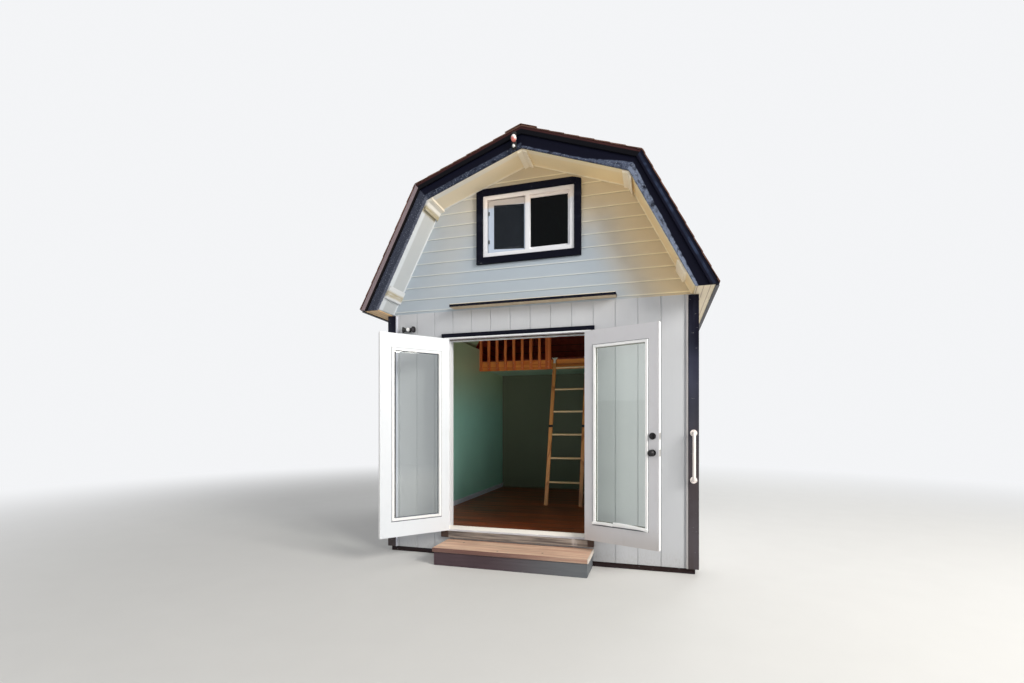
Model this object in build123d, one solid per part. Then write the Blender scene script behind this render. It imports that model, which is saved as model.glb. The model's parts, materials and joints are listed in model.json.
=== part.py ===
from build123d import *
import math
import os

# Gambrel-roofed cottage with a pair of glazed doors, a sleeping loft and a ladder.
# Sizes are in millimetres. X runs to the right seen from the front, Y runs into
# the building and Z is up. The origin is on the ground, under the middle of the floor.

# Shell
width = 3048
depth = 3658
siding_height = 2438
siding_thickness = 10
wall_thickness = 112
ground_gap = 50
corner_board_width = 89
corner_board_thickness = 20

# Floor
skid_size = 89
skid_inset = 150
skirt_thickness = 19
joist_depth = 140
joist_thickness = 38
joist_spacing = 406
floor_thickness = 26

# Roof
lower_pitch = 62.6
upper_pitch = 19.9
knee_offset = 955
heel_inset = 37
lower_roof_depth = 164
upper_roof_depth = 175
shingle_thickness = 14
shingle_overhang = 8
ridge_cap_reach = 150
ridge_cap_thickness = 8
gable_overhang = 305
fascia_thickness = 19
rake_trim_depth = 62
rake_trim_thickness = 15
soffit_thickness = 10
drip_width = 20
drip_drop = 8
lookout_drop = 22
ridge_lookout_width = 44
knee_lookout_width = 56
eave_lookout_width = 115
eave_lookout_rise = 108

# Doors
door_offset = -149
leaf_width = 705
leaf_height = 1930
leaf_thickness = 44
leaf_proud = 24
hinge_gap = 5
meeting_gap = 8
leaf_floor_gap = 11
leaf_head_gap = 6
stop_gap = 6
stop_thickness = 12
jamb_thickness = 32
head_thickness = 14
left_open_angle = 130
right_open_angle = 159
lite_width = 489
lite_height = 1590
lite_bottom = 178
lite_moulding_width = 24
lite_moulding_proud = 8
lite_moulding_slope = 35
door_glass_thickness = 12
fit_clearance = 0.3

# Hinges
hinge_count = 3
hinge_end_distance = 230
hinge_height = 100
knuckle_count = 3
knuckle_radius = 7
knuckle_sides = 12
knuckle_gap = 0.4
pin_offset = 8
pin_radius = 3.5
pin_clearance = 0.4
hinge_plate_thickness = 2
hinge_plate_width = 40
hinge_plate_gap = 0.5

# Lock
lock_backset = 54
knob_height = 823
deadbolt_height = 965
rose_radius = 29
rose_thickness = 9
spindle_radius = 9
spindle_clearance = 3
knob_radius = 28
knob_reach = 62
knob_length = 40
knob_bevel = 12
knob_neck_radius = 12
thumb_turn_length = 46
thumb_turn_width = 14
thumb_turn_reach = 26
thumb_shaft_radius = 6
edge_plate_width = 25
edge_plate_height = 57
edge_plate_thickness = 1.5

# Door surround
threshold_thickness = 4
threshold_rise = 40
threshold_crest = 20
threshold_proud = 36
threshold_depth = 136
sill_height = 67
sill_proud = 40
sill_reach = 60
head_trim_height = 42
head_trim_proud = 20
head_trim_reach = 32
hood_width = 1627
hood_offset = 21
hood_rise = 11
hood_thickness = 28
hood_reach = 130
hood_fall = 6

# Window
window_offset = -18
window_head_drop = 255
window_width = 914
window_height = 610
window_depth = 90
window_proud = 16
window_rail = 42
meeting_stile = 45
sash_rail = 56
sash_meeting_rail = 26
sash_thickness = 28
sash_setback = 30
pane_thickness = 6
pane_setback = 24
glazing_bead = 22
bead_setback = 8
casing_width = 67
casing_proud = 32
casing_ear_length = 80
casing_ear_drop = 25

# Step
step_offset = -116
step_width = 1476
step_depth = 385
step_height = 165
tread_thickness = 38
tread_nosing = 12
step_board = 38

# Grab handle and lights
handle_height = 1047
handle_length = 415
handle_standoff = 62
handle_radius = 14
handle_sides = 16
handle_bend = 30
rosette_radius = 30
rosette_thickness = 6
wall_light_offset = -1297
wall_light_drop = 168
wall_light_radius = 40
wall_light_depth = 34
sensor_radius = 17
sensor_length = 16
lamp_root_radius = 14
lamp_rim_radius = 30
lamp_length = 50
lamp_start = 14
lamp_forward = 25
peak_light_offset = -56
peak_light_drop = 56
peak_light_width = 40
peak_light_depth = 34
peak_light_height = 154
bulb_radius = 24
bulb_length = 30
bulb_drop = 67
eye_radius = 14
eye_length = 18
eye_rise = 20

# Loft and ladder
loft_setback = 2420
loft_height = 1900
loft_beam_depth = 140
loft_beam_thickness = 38
loft_deck_thickness = 18
loft_joist_depth = 89
loft_joist_spacing = 406
loft_ceiling_thickness = 9
baluster_width = 40
baluster_thickness = 30
baluster_spacing = 132
newel_width = 85
newel_offset = 340
right_newel_offset = 460
guard_height = 800
handrail_height = 38
handrail_thickness = 60
ladder_offset = -5
ladder_foot_distance = 612
ladder_rail_spacing = 464
ladder_rail_width = 48
ladder_rail_thickness = 34
rung_radius = 13
rung_spacing = 322
first_rung_height = 300
rung_count = 6
hook_width = 26
hook_thickness = 4
hook_reach = 70
hook_drop = 60

# Heights and planes that follow from the sizes above
half_width = width / 2
front = -depth / 2
back = depth / 2
frame_bottom = skid_size
frame_top = frame_bottom + joist_depth
floor_top = frame_top + floor_thickness
wall_top = ground_gap + siding_height
inner_half = half_width - wall_thickness
inner_front = front + wall_thickness
inner_back = back - wall_thickness
frame_half = half_width - siding_thickness
overhang_inner = gable_overhang - fascia_thickness
lower_tan = math.tan(math.radians(lower_pitch))
upper_tan = math.tan(math.radians(upper_pitch))
heel_x = half_width - heel_inset
leaf_bottom = floor_top + leaf_floor_gap
leaf_top = leaf_bottom + leaf_height
head_bottom = leaf_top + leaf_head_gap
head_top = head_bottom + head_thickness
opening_half = leaf_width + hinge_gap + meeting_gap / 2
jamb_left = door_offset - opening_half
jamb_right = door_offset + opening_half
rough_left = jamb_left - jamb_thickness
rough_right = jamb_right + jamb_thickness
jamb_front = front - leaf_proud
stop_front = jamb_front + leaf_thickness + stop_gap
loft_front = front + loft_setback
loft_beam_bottom = floor_top + loft_height
loft_beam_top = loft_beam_bottom + loft_beam_depth
loft_top = loft_beam_top + loft_deck_thickness


def block(x_range, y_range, z_range):
    """A box given by its limits along X, Y and Z."""
    size = [high - low for low, high in (x_range, y_range, z_range)]
    corner = Pos(x_range[0], y_range[0], z_range[0])
    return corner * Box(*size, align=(Align.MIN, Align.MIN, Align.MIN))


def prism_along_y(points, y_range):
    """An outline of (x, z) points carried from one Y to another."""
    outline = Polyline(*[(x, y_range[0], z) for x, z in points], close=True)
    return extrude(make_face(outline), amount=y_range[1] - y_range[0], dir=(0, 1, 0))


def prism_along_x(points, x_range):
    """An outline of (y, z) points carried from one X to another."""
    outline = Polyline(*[(x_range[0], y, z) for y, z in points], close=True)
    return extrude(make_face(outline), amount=x_range[1] - x_range[0], dir=(1, 0, 0))


def prism_along_z(points, z_range):
    """An outline of (x, y) points carried from one Z to another."""
    outline = Polyline(*[(x, y, z_range[0]) for x, y in points], close=True)
    return extrude(make_face(outline), amount=z_range[1] - z_range[0], dir=(0, 0, 1))


def other_side(piece):
    """The same piece on the far side of the building's centre plane."""
    return mirror(piece, about=Plane.YZ)


def other_end(piece):
    """The same piece at the back of the building."""
    return mirror(piece, about=Plane.XZ)


def save(name, *pieces):
    solids = [solid for piece in pieces for solid in piece.solids()]
    shape = solids[0] if len(solids) == 1 else Compound(solids)
    export_step(shape, f"parts/{name}.step")


# Roof outlines
def roof_line(lower_offset, upper_offset, bottom):
    """Eave, knee and ridge of the right-hand slopes, offset outwards from the soffit plane.

    Both slopes are straight lines z = height_at_centre - x * tan(pitch), moved outwards
    by their offsets. The eave is where the lower one meets the height called bottom.
    """
    knee_height = wall_top + (heel_x - knee_offset) * lower_tan
    lower_at_centre = wall_top + heel_x * lower_tan
    lower_at_centre += lower_offset / math.cos(math.radians(lower_pitch))
    upper_at_centre = knee_height + knee_offset * upper_tan
    upper_at_centre += upper_offset / math.cos(math.radians(upper_pitch))
    knee_x = (lower_at_centre - upper_at_centre) / (lower_tan - upper_tan)
    eave = ((lower_at_centre - bottom) / lower_tan, bottom)
    knee = (knee_x, upper_at_centre - knee_x * upper_tan)
    ridge = (0, upper_at_centre)
    return eave, knee, ridge


def mirrored_points(points):
    return [(-x, z) for x, z in points]


def arch(inner, outer):
    """The closed outline between two roof lines, over both sides of the building."""
    outside = [*outer, *mirrored_points(reversed(outer[:-1]))]
    inside = [*mirrored_points(inner), *reversed(inner[:-1])]
    return outside + inside


roof_under = roof_line(soffit_thickness, soffit_thickness, wall_top)
roof_over = roof_line(lower_roof_depth, upper_roof_depth, wall_top)
fascia_bottom = wall_top - soffit_thickness
overhang_range = (front - overhang_inner, front)
roof_range = (front - overhang_inner, back + overhang_inner)


# Ground frame and floor
def skids():
    reach = depth / 2 - siding_thickness - skirt_thickness
    outer_x = frame_half - skirt_thickness - skid_inset - skid_size / 2
    return [
        Pos(x, 0, skid_size / 2) * Box(skid_size, 2 * reach, skid_size)
        for x in (-outer_x, 0, outer_x)
    ]


def base_skirt():
    """Boards on edge between the ground and the floor frame, behind the siding."""
    outer = front + siding_thickness
    inner = outer + skirt_thickness
    height = (0, frame_bottom)
    front_board = block((-frame_half, frame_half), (outer, inner), height)
    side_y = (inner + fit_clearance, -inner - fit_clearance)
    side_board = block((frame_half - skirt_thickness, frame_half), side_y, height)
    return front_board, other_end(front_board), side_board, other_side(side_board)


def floor_frame():
    """Rim boards all round with joists on edge between the sides."""
    frame_y = depth / 2 - siding_thickness
    height = (frame_bottom, frame_top)
    end_rim = block((-frame_half, frame_half), (-frame_y, joist_thickness - frame_y), height)
    clear_y = frame_y - joist_thickness
    side_y = (fit_clearance - clear_y, clear_y - fit_clearance)
    side_rim = block((frame_half - joist_thickness, frame_half), side_y, height)
    bay_count = math.ceil(2 * clear_y / joist_spacing)
    bay_pitch = 2 * clear_y / bay_count
    joist_length = 2 * (frame_half - joist_thickness - fit_clearance)
    joist_y = [index * bay_pitch - clear_y for index in range(1, bay_count)]
    joists = [
        Pos(0, y, sum(height) / 2) * Box(joist_length, joist_thickness, joist_depth)
        for y in joist_y
    ]
    return [end_rim, other_end(end_rim), side_rim, other_side(side_rim), *joists]


def floor_boards():
    frame_y = depth / 2 - siding_thickness
    return block((-frame_half, frame_half), (-frame_y, frame_y), (frame_top, floor_top))


# Walls
def front_wall_piece(x_range, z_range):
    return block(x_range, (front, inner_front), z_range)


def front_siding_lip(x_range):
    """The siding where it runs down past the floor, over the frame's edge."""
    return block(x_range, (front, front + siding_thickness), (ground_gap, floor_top))


def front_wall_left():
    x_range = (-half_width, rough_left)
    return front_wall_piece(x_range, (floor_top, head_top)) + front_siding_lip(x_range)


def front_wall_right():
    x_range = (rough_right, half_width)
    return front_wall_piece(x_range, (floor_top, head_top)) + front_siding_lip(x_range)


def gable_outline():
    return [*roof_under, *mirrored_points(reversed(roof_under[:-1]))]


def window_range(margin):
    """Limits of the window's frame in X and Z, let out by a margin."""
    head = roof_line(0, 0, wall_top)[2][1] - window_head_drop
    x_range = (
        window_offset - window_width / 2 - margin,
        window_offset + window_width / 2 + margin,
    )
    return x_range, (head - window_height - margin, head + margin)


def front_gable():
    x_range, z_range = window_range(fit_clearance)
    wall = prism_along_y(gable_outline(), (front, inner_front))
    return wall - block(x_range, (front, inner_front), z_range)


def back_wall():
    outline = [
        (-half_width, floor_top),
        (half_width, floor_top),
        (half_width, wall_top),
        *gable_outline(),
        (-half_width, wall_top),
    ]
    wall = prism_along_y(outline, (inner_back, back))
    return wall + other_end(front_siding_lip((-half_width, half_width)))


def right_wall():
    wall = block((inner_half, half_width), (inner_front, inner_back), (floor_top, wall_top))
    lip_y = (front + siding_thickness, back - siding_thickness)
    return wall + block((frame_half, half_width), lip_y, (ground_gap, floor_top))


def corner_boards():
    """A board on the front and one on the side at each corner, as one angle."""
    outer_x = half_width + corner_board_thickness
    inner_x = outer_x - corner_board_width
    outer_y = front - corner_board_thickness
    inner_y = outer_y + corner_board_width
    profile = [
        (inner_x, outer_y),
        (outer_x, outer_y),
        (outer_x, inner_y),
        (half_width, inner_y),
        (half_width, front),
        (inner_x, front),
    ]
    board = prism_along_z(profile, (ground_gap, fascia_bottom))
    pair = [board, other_side(board)]
    return [*pair, *[other_end(corner) for corner in pair]]


# Roof
def lower_slope():
    outline = [roof_under[0], roof_over[0], roof_over[1], roof_under[1]]
    return prism_along_y(outline, roof_range)


def upper_slope():
    outline = [roof_under[1], roof_over[1], roof_over[2], roof_under[2]]
    return prism_along_y(outline, roof_range)


def shingle_side():
    reach = gable_overhang + rake_trim_thickness + shingle_overhang
    inner = roof_line(lower_roof_depth, upper_roof_depth, wall_top)
    outer = roof_line(
        lower_roof_depth + shingle_thickness,
        upper_roof_depth + shingle_thickness,
        wall_top,
    )
    return prism_along_y([*inner, *reversed(outer)], (front - reach, back + reach))


def ridge_cap():
    """The bent strip of shingles along the ridge."""
    reach = gable_overhang + rake_trim_thickness + shingle_overhang
    under = upper_roof_depth + shingle_thickness
    over = under + ridge_cap_thickness
    inner_top = roof_line(0, under, wall_top)[2][1]
    outer_top = roof_line(0, over, wall_top)[2][1]
    drop = ridge_cap_reach * upper_tan
    outline = [
        (0, inner_top),
        (ridge_cap_reach, inner_top - drop),
        (ridge_cap_reach, outer_top - drop),
        (0, outer_top),
        (-ridge_cap_reach, outer_top - drop),
        (-ridge_cap_reach, inner_top - drop),
    ]
    return prism_along_y(outline, (front - reach, back + reach))


def fascia():
    """The boards that follow the front edge of the roof, mitred at knees and ridge."""
    inner = roof_line(0, 0, fascia_bottom)
    outer = roof_line(lower_roof_depth, upper_roof_depth, fascia_bottom)
    return prism_along_y(arch(inner, outer), (front - gable_overhang, front - overhang_inner))


def rake_trim():
    inner = roof_line(
        lower_roof_depth - rake_trim_depth,
        upper_roof_depth - rake_trim_depth,
        fascia_bottom,
    )
    outer = roof_line(lower_roof_depth, upper_roof_depth, fascia_bottom)
    outer_y = front - gable_overhang - rake_trim_thickness
    return prism_along_y(arch(inner, outer), (outer_y, front - gable_overhang))


def gable_soffit():
    inner = roof_line(0, 0, wall_top)
    return prism_along_y(arch(inner, roof_under), overhang_range)


def lookouts():
    """Short blocks under the gable soffit, at the ridge, the knees and the eaves."""
    lower = roof_line(-lookout_drop, -lookout_drop, wall_top)
    upper = roof_line(0, 0, wall_top)
    strip = prism_along_y(arch(lower, upper), overhang_range)
    knee_x, knee_z = upper[1]
    top = upper[2][1]
    tall = (0, top)
    eave_z = (wall_top + eave_lookout_rise, wall_top + eave_lookout_rise + eave_lookout_width)
    slices = [
        block((fit_clearance, ridge_lookout_width), overhang_range, tall),
        block((knee_x - knee_lookout_width, knee_x + lookout_drop), overhang_range, tall),
        block((knee_x, half_width), overhang_range, eave_z),
    ]
    right_blocks = [strip & piece for piece in slices]
    return right_blocks + [other_side(piece) for piece in right_blocks]


def eave_soffit():
    """The level board under the eave, wider where it passes the ends of the wall."""
    outer_x = roof_over[0][0] - drip_width
    board = block((roof_under[0][0], outer_x), roof_range, (fascia_bottom, wall_top))
    return board - block((0, half_width), (front, back), (fascia_bottom, wall_top))


def eave_drip():
    drip_bottom = fascia_bottom - drip_drop
    drip_edge = roof_line(lower_roof_depth, upper_roof_depth, drip_bottom)[0]
    inner_x = roof_over[0][0] - drip_width
    outline = [(inner_x, drip_bottom), drip_edge, roof_over[0], (inner_x, wall_top)]
    return prism_along_y(outline, roof_range)


# Door frame and trim
def door_jamb(face, inward):
    """One side of the door frame, with the stop that the closed leaf comes up to."""
    outer = face - inward * jamb_thickness
    stop = face + inward * stop_thickness
    profile = [
        (outer, jamb_front),
        (face, jamb_front),
        (face, stop_front),
        (stop, stop_front),
        (stop, inner_front),
        (outer, inner_front),
    ]
    return prism_along_z(profile, (floor_top, head_bottom))


def door_head():
    head = block((rough_left, rough_right), (jamb_front, inner_front), (head_bottom, head_top))
    stop_x = (jamb_left + stop_thickness, jamb_right - stop_thickness)
    stop_z = (head_bottom - stop_thickness, head_bottom)
    return head + block(stop_x, (stop_front, inner_front), stop_z)


def threshold():
    outer_y = front - threshold_proud
    inner_y = outer_y + threshold_depth
    crest_y = stop_front + threshold_crest
    profile = [
        (outer_y, floor_top),
        (outer_y, floor_top + threshold_thickness / 2),
        (stop_front - stop_gap / 6, floor_top + threshold_thickness),
        (stop_front, floor_top + threshold_rise),
        (crest_y, floor_top + threshold_rise),
        (inner_y, floor_top + threshold_thickness / 2),
        (inner_y, floor_top),
    ]
    half_stop = stop_thickness
    sill = prism_along_x(profile, (jamb_left, jamb_right))
    stop_y = (stop_front, inner_front)
    tall = (floor_top, floor_top + 2 * threshold_rise)
    sill -= block((jamb_left, jamb_left + half_stop), stop_y, tall)
    return sill - block((jamb_right - half_stop, jamb_right), stop_y, tall)


def sill_board():
    x_range = (jamb_left - sill_reach, jamb_right + sill_reach)
    return block(x_range, (front - sill_proud, front), (floor_top - sill_height, floor_top))


def head_trim():
    x_range = (rough_left - head_trim_reach, rough_right + head_trim_reach)
    z_range = (head_top, head_top + head_trim_height)
    return block(x_range, (front - head_trim_proud, front), z_range)


def hood_ledge():
    """The narrow drip shelf across the front, over the doors, falling outwards."""
    bottom = wall_top + hood_rise
    profile = [
        (front, bottom + hood_fall),
        (front - hood_reach, bottom),
        (front - hood_reach, bottom + hood_thickness),
        (front, bottom + hood_thickness + hood_fall),
    ]
    half = hood_width / 2
    return prism_along_x(profile, (hood_offset - half, hood_offset + half))


# Doors, drawn closed with the hinge pin on the Z axis and the leaf towards +X.
# The leaf's outer face is pin_offset behind the pin.
leaf_x = (hinge_gap / 2, hinge_gap / 2 + leaf_width)
leaf_y = (pin_offset, pin_offset + leaf_thickness)
pin_y = jamb_front - pin_offset
lite_x = (
    leaf_x[0] + (leaf_width - lite_width) / 2,
    leaf_x[0] + (leaf_width + lite_width) / 2,
)
lite_z = (leaf_bottom + lite_bottom, leaf_bottom + lite_bottom + lite_height)
lock_x = leaf_x[1] - lock_backset
knob_z = leaf_bottom + knob_height
deadbolt_z = leaf_bottom + deadbolt_height
left_hinge_place = Pos(jamb_left + hinge_gap / 2, pin_y, 0)
right_hinge_place = Pos(jamb_right - hinge_gap / 2, pin_y, 0)


def place_left(piece):
    return left_hinge_place * Rot(0, 0, -left_open_angle) * piece


def place_right(piece):
    return right_hinge_place * Rot(0, 0, right_open_angle) * other_side(piece)


def lite_moulding(y, direction):
    """The bevelled frame that holds the glass, on one face of the leaf."""
    centre = Vector(sum(lite_x) / 2, y, sum(lite_z) / 2)
    face_plane = Plane(origin=centre, x_dir=(1, 0, 0), z_dir=(0, direction, 0))
    outline = face_plane * Rectangle(
        lite_width + 2 * lite_moulding_width,
        lite_height + 2 * lite_moulding_width,
    )
    return extrude(outline, amount=lite_moulding_proud, taper=lite_moulding_slope)


def door_leaf():
    leaf = block(leaf_x, leaf_y, (leaf_bottom, leaf_top))
    leaf += lite_moulding(leaf_y[0], -1)
    leaf += lite_moulding(leaf_y[1], 1)
    through = (leaf_y[0] - 2 * lite_moulding_proud, leaf_y[1] + 2 * lite_moulding_proud)
    return leaf - block(lite_x, through, lite_z)


def across_leaf(radius, y_range, height):
    """A round piece through the leaf at the lock's backset."""
    length = y_range[1] - y_range[0]
    middle = Pos(lock_x, sum(y_range) / 2, height)
    return middle * Rot(90, 0, 0) * Cylinder(radius, length)


def door_glass():
    x_range = (lite_x[0] + fit_clearance, lite_x[1] - fit_clearance)
    z_range = (lite_z[0] + fit_clearance, lite_z[1] - fit_clearance)
    middle = sum(leaf_y) / 2
    y_range = (middle - door_glass_thickness / 2, middle + door_glass_thickness / 2)
    return block(x_range, y_range, z_range)


def lock_plates():
    """Roses on both faces and the plates on the leaf's edge, all fixed to the leaf."""
    inside_y = (leaf_y[1], leaf_y[1] + rose_thickness)
    outside_y = (leaf_y[0] - rose_thickness, leaf_y[0])
    bore = spindle_radius + spindle_clearance
    knob_roses = [
        across_leaf(rose_radius, y_range, knob_z) - across_leaf(bore, y_range, knob_z)
        for y_range in (inside_y, outside_y)
    ]
    thumb_bore = thumb_shaft_radius + pin_clearance
    inside_bolt = across_leaf(rose_radius, inside_y, deadbolt_z)
    inside_bolt -= across_leaf(thumb_bore, inside_y, deadbolt_z)
    outside_bolt = across_leaf(rose_radius, outside_y, deadbolt_z)
    edge_x = (leaf_x[1], leaf_x[1] + edge_plate_thickness)
    middle = sum(leaf_y) / 2
    edge_y = (middle - edge_plate_width / 2, middle + edge_plate_width / 2)
    edge_plates = [
        block(edge_x, edge_y, (z - edge_plate_height / 2, z + edge_plate_height / 2))
        for z in (knob_z, deadbolt_z)
    ]
    return [*knob_roses, inside_bolt, outside_bolt, *edge_plates]


def knob_profile():
    """Half of the knob's section: spindle, neck and bevelled ball, from the leaf's middle."""
    face = leaf_thickness / 2 + rose_thickness + pin_clearance
    tip = leaf_thickness / 2 + knob_reach
    ball_start = tip - knob_length
    points = [
        (0, 0),
        (spindle_radius, 0),
        (spindle_radius, face),
        (knob_neck_radius, face),
        (knob_neck_radius, ball_start),
        (knob_radius, ball_start + knob_bevel),
        (knob_radius, tip - knob_bevel),
        (knob_radius - knob_bevel, tip),
        (0, tip),
    ]
    return make_face(Polyline(*points, close=True))


def door_knob():
    """Both knobs and the spindle between them, which turn as one."""
    half = revolve(knob_profile(), axis=Axis.Y)
    whole = half + mirror(half, about=Plane.XZ)
    return Pos(lock_x, sum(leaf_y) / 2, knob_z) * whole


def thumb_turn():
    shaft_y = (leaf_y[1] + pin_clearance, leaf_y[1] + rose_thickness + pin_clearance)
    shaft = across_leaf(thumb_shaft_radius, shaft_y, deadbolt_z)
    grip_y = (shaft_y[1], leaf_y[1] + thumb_turn_reach)
    grip_plane = Plane(
        origin=(lock_x, grip_y[0], deadbolt_z),
        x_dir=(0, 0, 1),
        z_dir=(0, 1, 0),
    )
    outline = grip_plane * SlotOverall(thumb_turn_length, thumb_turn_width)
    return shaft + extrude(outline, amount=grip_y[1] - grip_y[0])


def hinge_heights():
    low = leaf_bottom + hinge_end_distance
    high = leaf_top - hinge_end_distance
    step = (high - low) / (hinge_count - 1)
    return [low + index * step for index in range(hinge_count)]


def hinge_half(height, plate_x, first_knuckle):
    """One leaf of a butt hinge: its plate and every second knuckle on the pin's line."""
    barrel = RegularPolygon(knuckle_radius, knuckle_sides)
    low = height - hinge_height / 2
    pitch = hinge_height / knuckle_count
    near = knuckle_radius + hinge_plate_gap
    half = block(plate_x, (near, near + hinge_plate_width), (low, low + hinge_height))
    for index in range(first_knuckle, knuckle_count, 2):
        z_range = (low + index * pitch, low + (index + 1) * pitch - knuckle_gap)
        half += Pos(0, 0, z_range[0]) * extrude(barrel, amount=z_range[1] - z_range[0])
        half += block(plate_x, (0, near), z_range)
    return half


def jamb_hinge(height):
    """The half on the jamb, with the pin."""
    plate_x = (-hinge_gap / 2, -hinge_gap / 2 + hinge_plate_thickness)
    half = hinge_half(height, plate_x, 0)
    return half + Pos(0, 0, height) * Cylinder(pin_radius, hinge_height - 2 * knuckle_gap)


def leaf_hinge(height):
    """The half on the door's edge, bored for the pin."""
    plate_x = (hinge_gap / 2 - hinge_plate_thickness, hinge_gap / 2)
    half = hinge_half(height, plate_x, 1)
    return half - Pos(0, 0, height) * Cylinder(pin_radius + pin_clearance, 2 * hinge_height)


# Window
def window_casing():
    """Black boards round the window, with the two top corners cut off."""
    x_range, z_range = window_range(casing_width)
    outline = [
        (x_range[0], z_range[0]),
        (x_range[1], z_range[0]),
        (x_range[1], z_range[1] - casing_ear_drop),
        (x_range[1] - casing_ear_length, z_range[1]),
        (x_range[0] + casing_ear_length, z_range[1]),
        (x_range[0], z_range[1] - casing_ear_drop),
    ]
    casing_y = (front - casing_proud, front)
    hole_x, hole_z = window_range(fit_clearance)
    return prism_along_y(outline, casing_y) - block(hole_x, casing_y, hole_z)


def light_range(side):
    """Limits of the left (-1) or right (1) light between the frame and the middle stile."""
    outer = window_offset + side * (window_width / 2 - window_rail)
    inner = window_offset + side * meeting_stile / 2
    z_range = window_range(-window_rail)[1]
    return (min(outer, inner), max(outer, inner)), z_range


def shrunk(limits, margin):
    return limits[0] + margin, limits[1] - margin


def window_frame():
    x_range, z_range = window_range(0)
    frame_y = (front - window_proud, front - window_proud + window_depth)
    frame = block(x_range, frame_y, z_range)
    for side in (-1, 1):
        light_x, light_z = light_range(side)
        frame -= block(light_x, frame_y, light_z)
    return frame + fixed_light_bead()


def fixed_light_bead():
    """The step that holds the fixed right pane, on every edge but the stile's."""
    light_x, light_z = light_range(1)
    bead_y = (front + bead_setback, front + pane_setback - fit_clearance)
    hole_x = (light_x[0], light_x[1] - glazing_bead)
    return block(light_x, bead_y, light_z) - block(hole_x, bead_y, shrunk(light_z, glazing_bead))


def sash_opening(margin):
    """Limits of the opening in the sliding sash, made smaller by a margin."""
    light_x, light_z = light_range(-1)
    inner_x = (light_x[0] + sash_rail + margin, light_x[1] - sash_meeting_rail - margin)
    return inner_x, shrunk(light_z, sash_rail + margin)


def window_sash():
    """The sliding sash in the left light, set back in its track."""
    light_x, light_z = light_range(-1)
    sash_y = (front + sash_setback, front + sash_setback + sash_thickness)
    hole_x, hole_z = sash_opening(0)
    outer = block(shrunk(light_x, fit_clearance), sash_y, shrunk(light_z, fit_clearance))
    return outer - block(hole_x, sash_y, hole_z)


def window_glass():
    left_x, left_z = sash_opening(fit_clearance)
    left_y = front + sash_setback + (sash_thickness - pane_thickness) / 2
    right_x, right_z = light_range(1)
    right_y = front + pane_setback
    return (
        block(left_x, (left_y, left_y + pane_thickness), left_z),
        block(
            shrunk(right_x, fit_clearance),
            (right_y, right_y + pane_thickness),
            shrunk(right_z, fit_clearance),
        ),
    )


# Step
step_x = (step_offset - step_width / 2, step_offset + step_width / 2)
step_y = (front - step_depth, front)
tread_bottom = step_height - tread_thickness


def step_tread():
    return block(step_x, step_y, (tread_bottom, step_height))


def step_frame():
    """Riser, back board, ends and a middle bearer on edge under the tread."""
    outer_x = shrunk(step_x, tread_nosing)
    height = (0, tread_bottom)
    riser_y = step_y[0] + tread_nosing
    riser = block(outer_x, (riser_y, riser_y + step_board), height)
    back_board = block(outer_x, (step_y[1] - step_board, step_y[1]), height)
    bearer_y = (riser_y + step_board + fit_clearance, step_y[1] - step_board - fit_clearance)
    starts = (outer_x[0], step_offset - step_board / 2, outer_x[1] - step_board)
    bearers = [block((x, x + step_board), bearer_y, height) for x in starts]
    return [riser, back_board, *bearers]


# Handle and lights
def grab_handle():
    """A bar bent back to a rosette at each end, on the right corner board."""
    x = half_width + corner_board_thickness - corner_board_width / 2
    face_y = front - corner_board_thickness
    bar_y = face_y - handle_standoff
    low = handle_height - handle_length / 2
    high = handle_height + handle_length / 2
    corners = [(x, face_y, low), (x, bar_y, low), (x, bar_y, high), (x, face_y, high)]
    path = FilletPolyline(*corners, radius=handle_bend)
    foot_plane = Plane(origin=corners[0], z_dir=(0, -1, 0))
    section = foot_plane * RegularPolygon(handle_radius, handle_sides)
    handle = sweep(section, path=path)
    for z in (low, high):
        disc = Rot(90, 0, 0) * Cylinder(rosette_radius, rosette_thickness)
        handle += Pos(x, face_y - rosette_thickness / 2, z) * disc
    return handle


def wall_light():
    """A round base with a sensor in the middle and two flared lamp heads beside it."""
    def out_from_wall(radius, y_range):
        middle = Pos(0, -sum(y_range) / 2, 0)
        return middle * Rot(90, 0, 0) * Cylinder(radius, y_range[1] - y_range[0])

    light = out_from_wall(wall_light_radius, (0, wall_light_depth))
    sensor_tip = wall_light_depth + sensor_length
    light += out_from_wall(sensor_radius, (wall_light_depth, sensor_tip))
    for side in (-1, 1):
        aim = Rot(0, 0, -side * lamp_forward) * Rot(0, side * 90, 0)
        reach = Pos(0, 0, lamp_start + lamp_length / 2)
        root = Pos(0, -wall_light_depth + lamp_root_radius, 0)
        light += root * aim * reach * Cone(lamp_root_radius, lamp_rim_radius, lamp_length)
    return Pos(wall_light_offset, front, wall_top - wall_light_drop) * light


def peak_light():
    """A small lamp on the fascia, just under the ridge, with a sensor below its bulb."""
    trim_face = front - gable_overhang - rake_trim_thickness
    top_z = roof_line(0, upper_roof_depth, wall_top)[2][1] - peak_light_drop
    bottom_z = top_z - peak_light_height
    half = peak_light_width / 2
    body_x = (peak_light_offset - half, peak_light_offset + half)
    body_y = (trim_face - peak_light_depth, trim_face)
    light = block(body_x, body_y, (bottom_z, top_z))
    fittings = (
        (bulb_radius, bulb_length, top_z - bulb_drop),
        (eye_radius, eye_length, bottom_z + eye_rise),
    )
    for radius, length, z in fittings:
        middle = Pos(peak_light_offset, body_y[0] - length / 2, z)
        light += middle * Rot(90, 0, 0) * Cylinder(radius, length)
    foot_x = (peak_light_offset - half / 2, peak_light_offset + half / 2)
    foot_z = (bottom_z + eye_rise, top_z - bulb_drop)
    return light + block(foot_x, (trim_face, front - gable_overhang), foot_z)


# Loft
def loft_beam():
    beam_y = (loft_front, loft_front + loft_beam_thickness)
    return block((-inner_half, inner_half), beam_y, (loft_beam_bottom, loft_beam_top))


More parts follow.
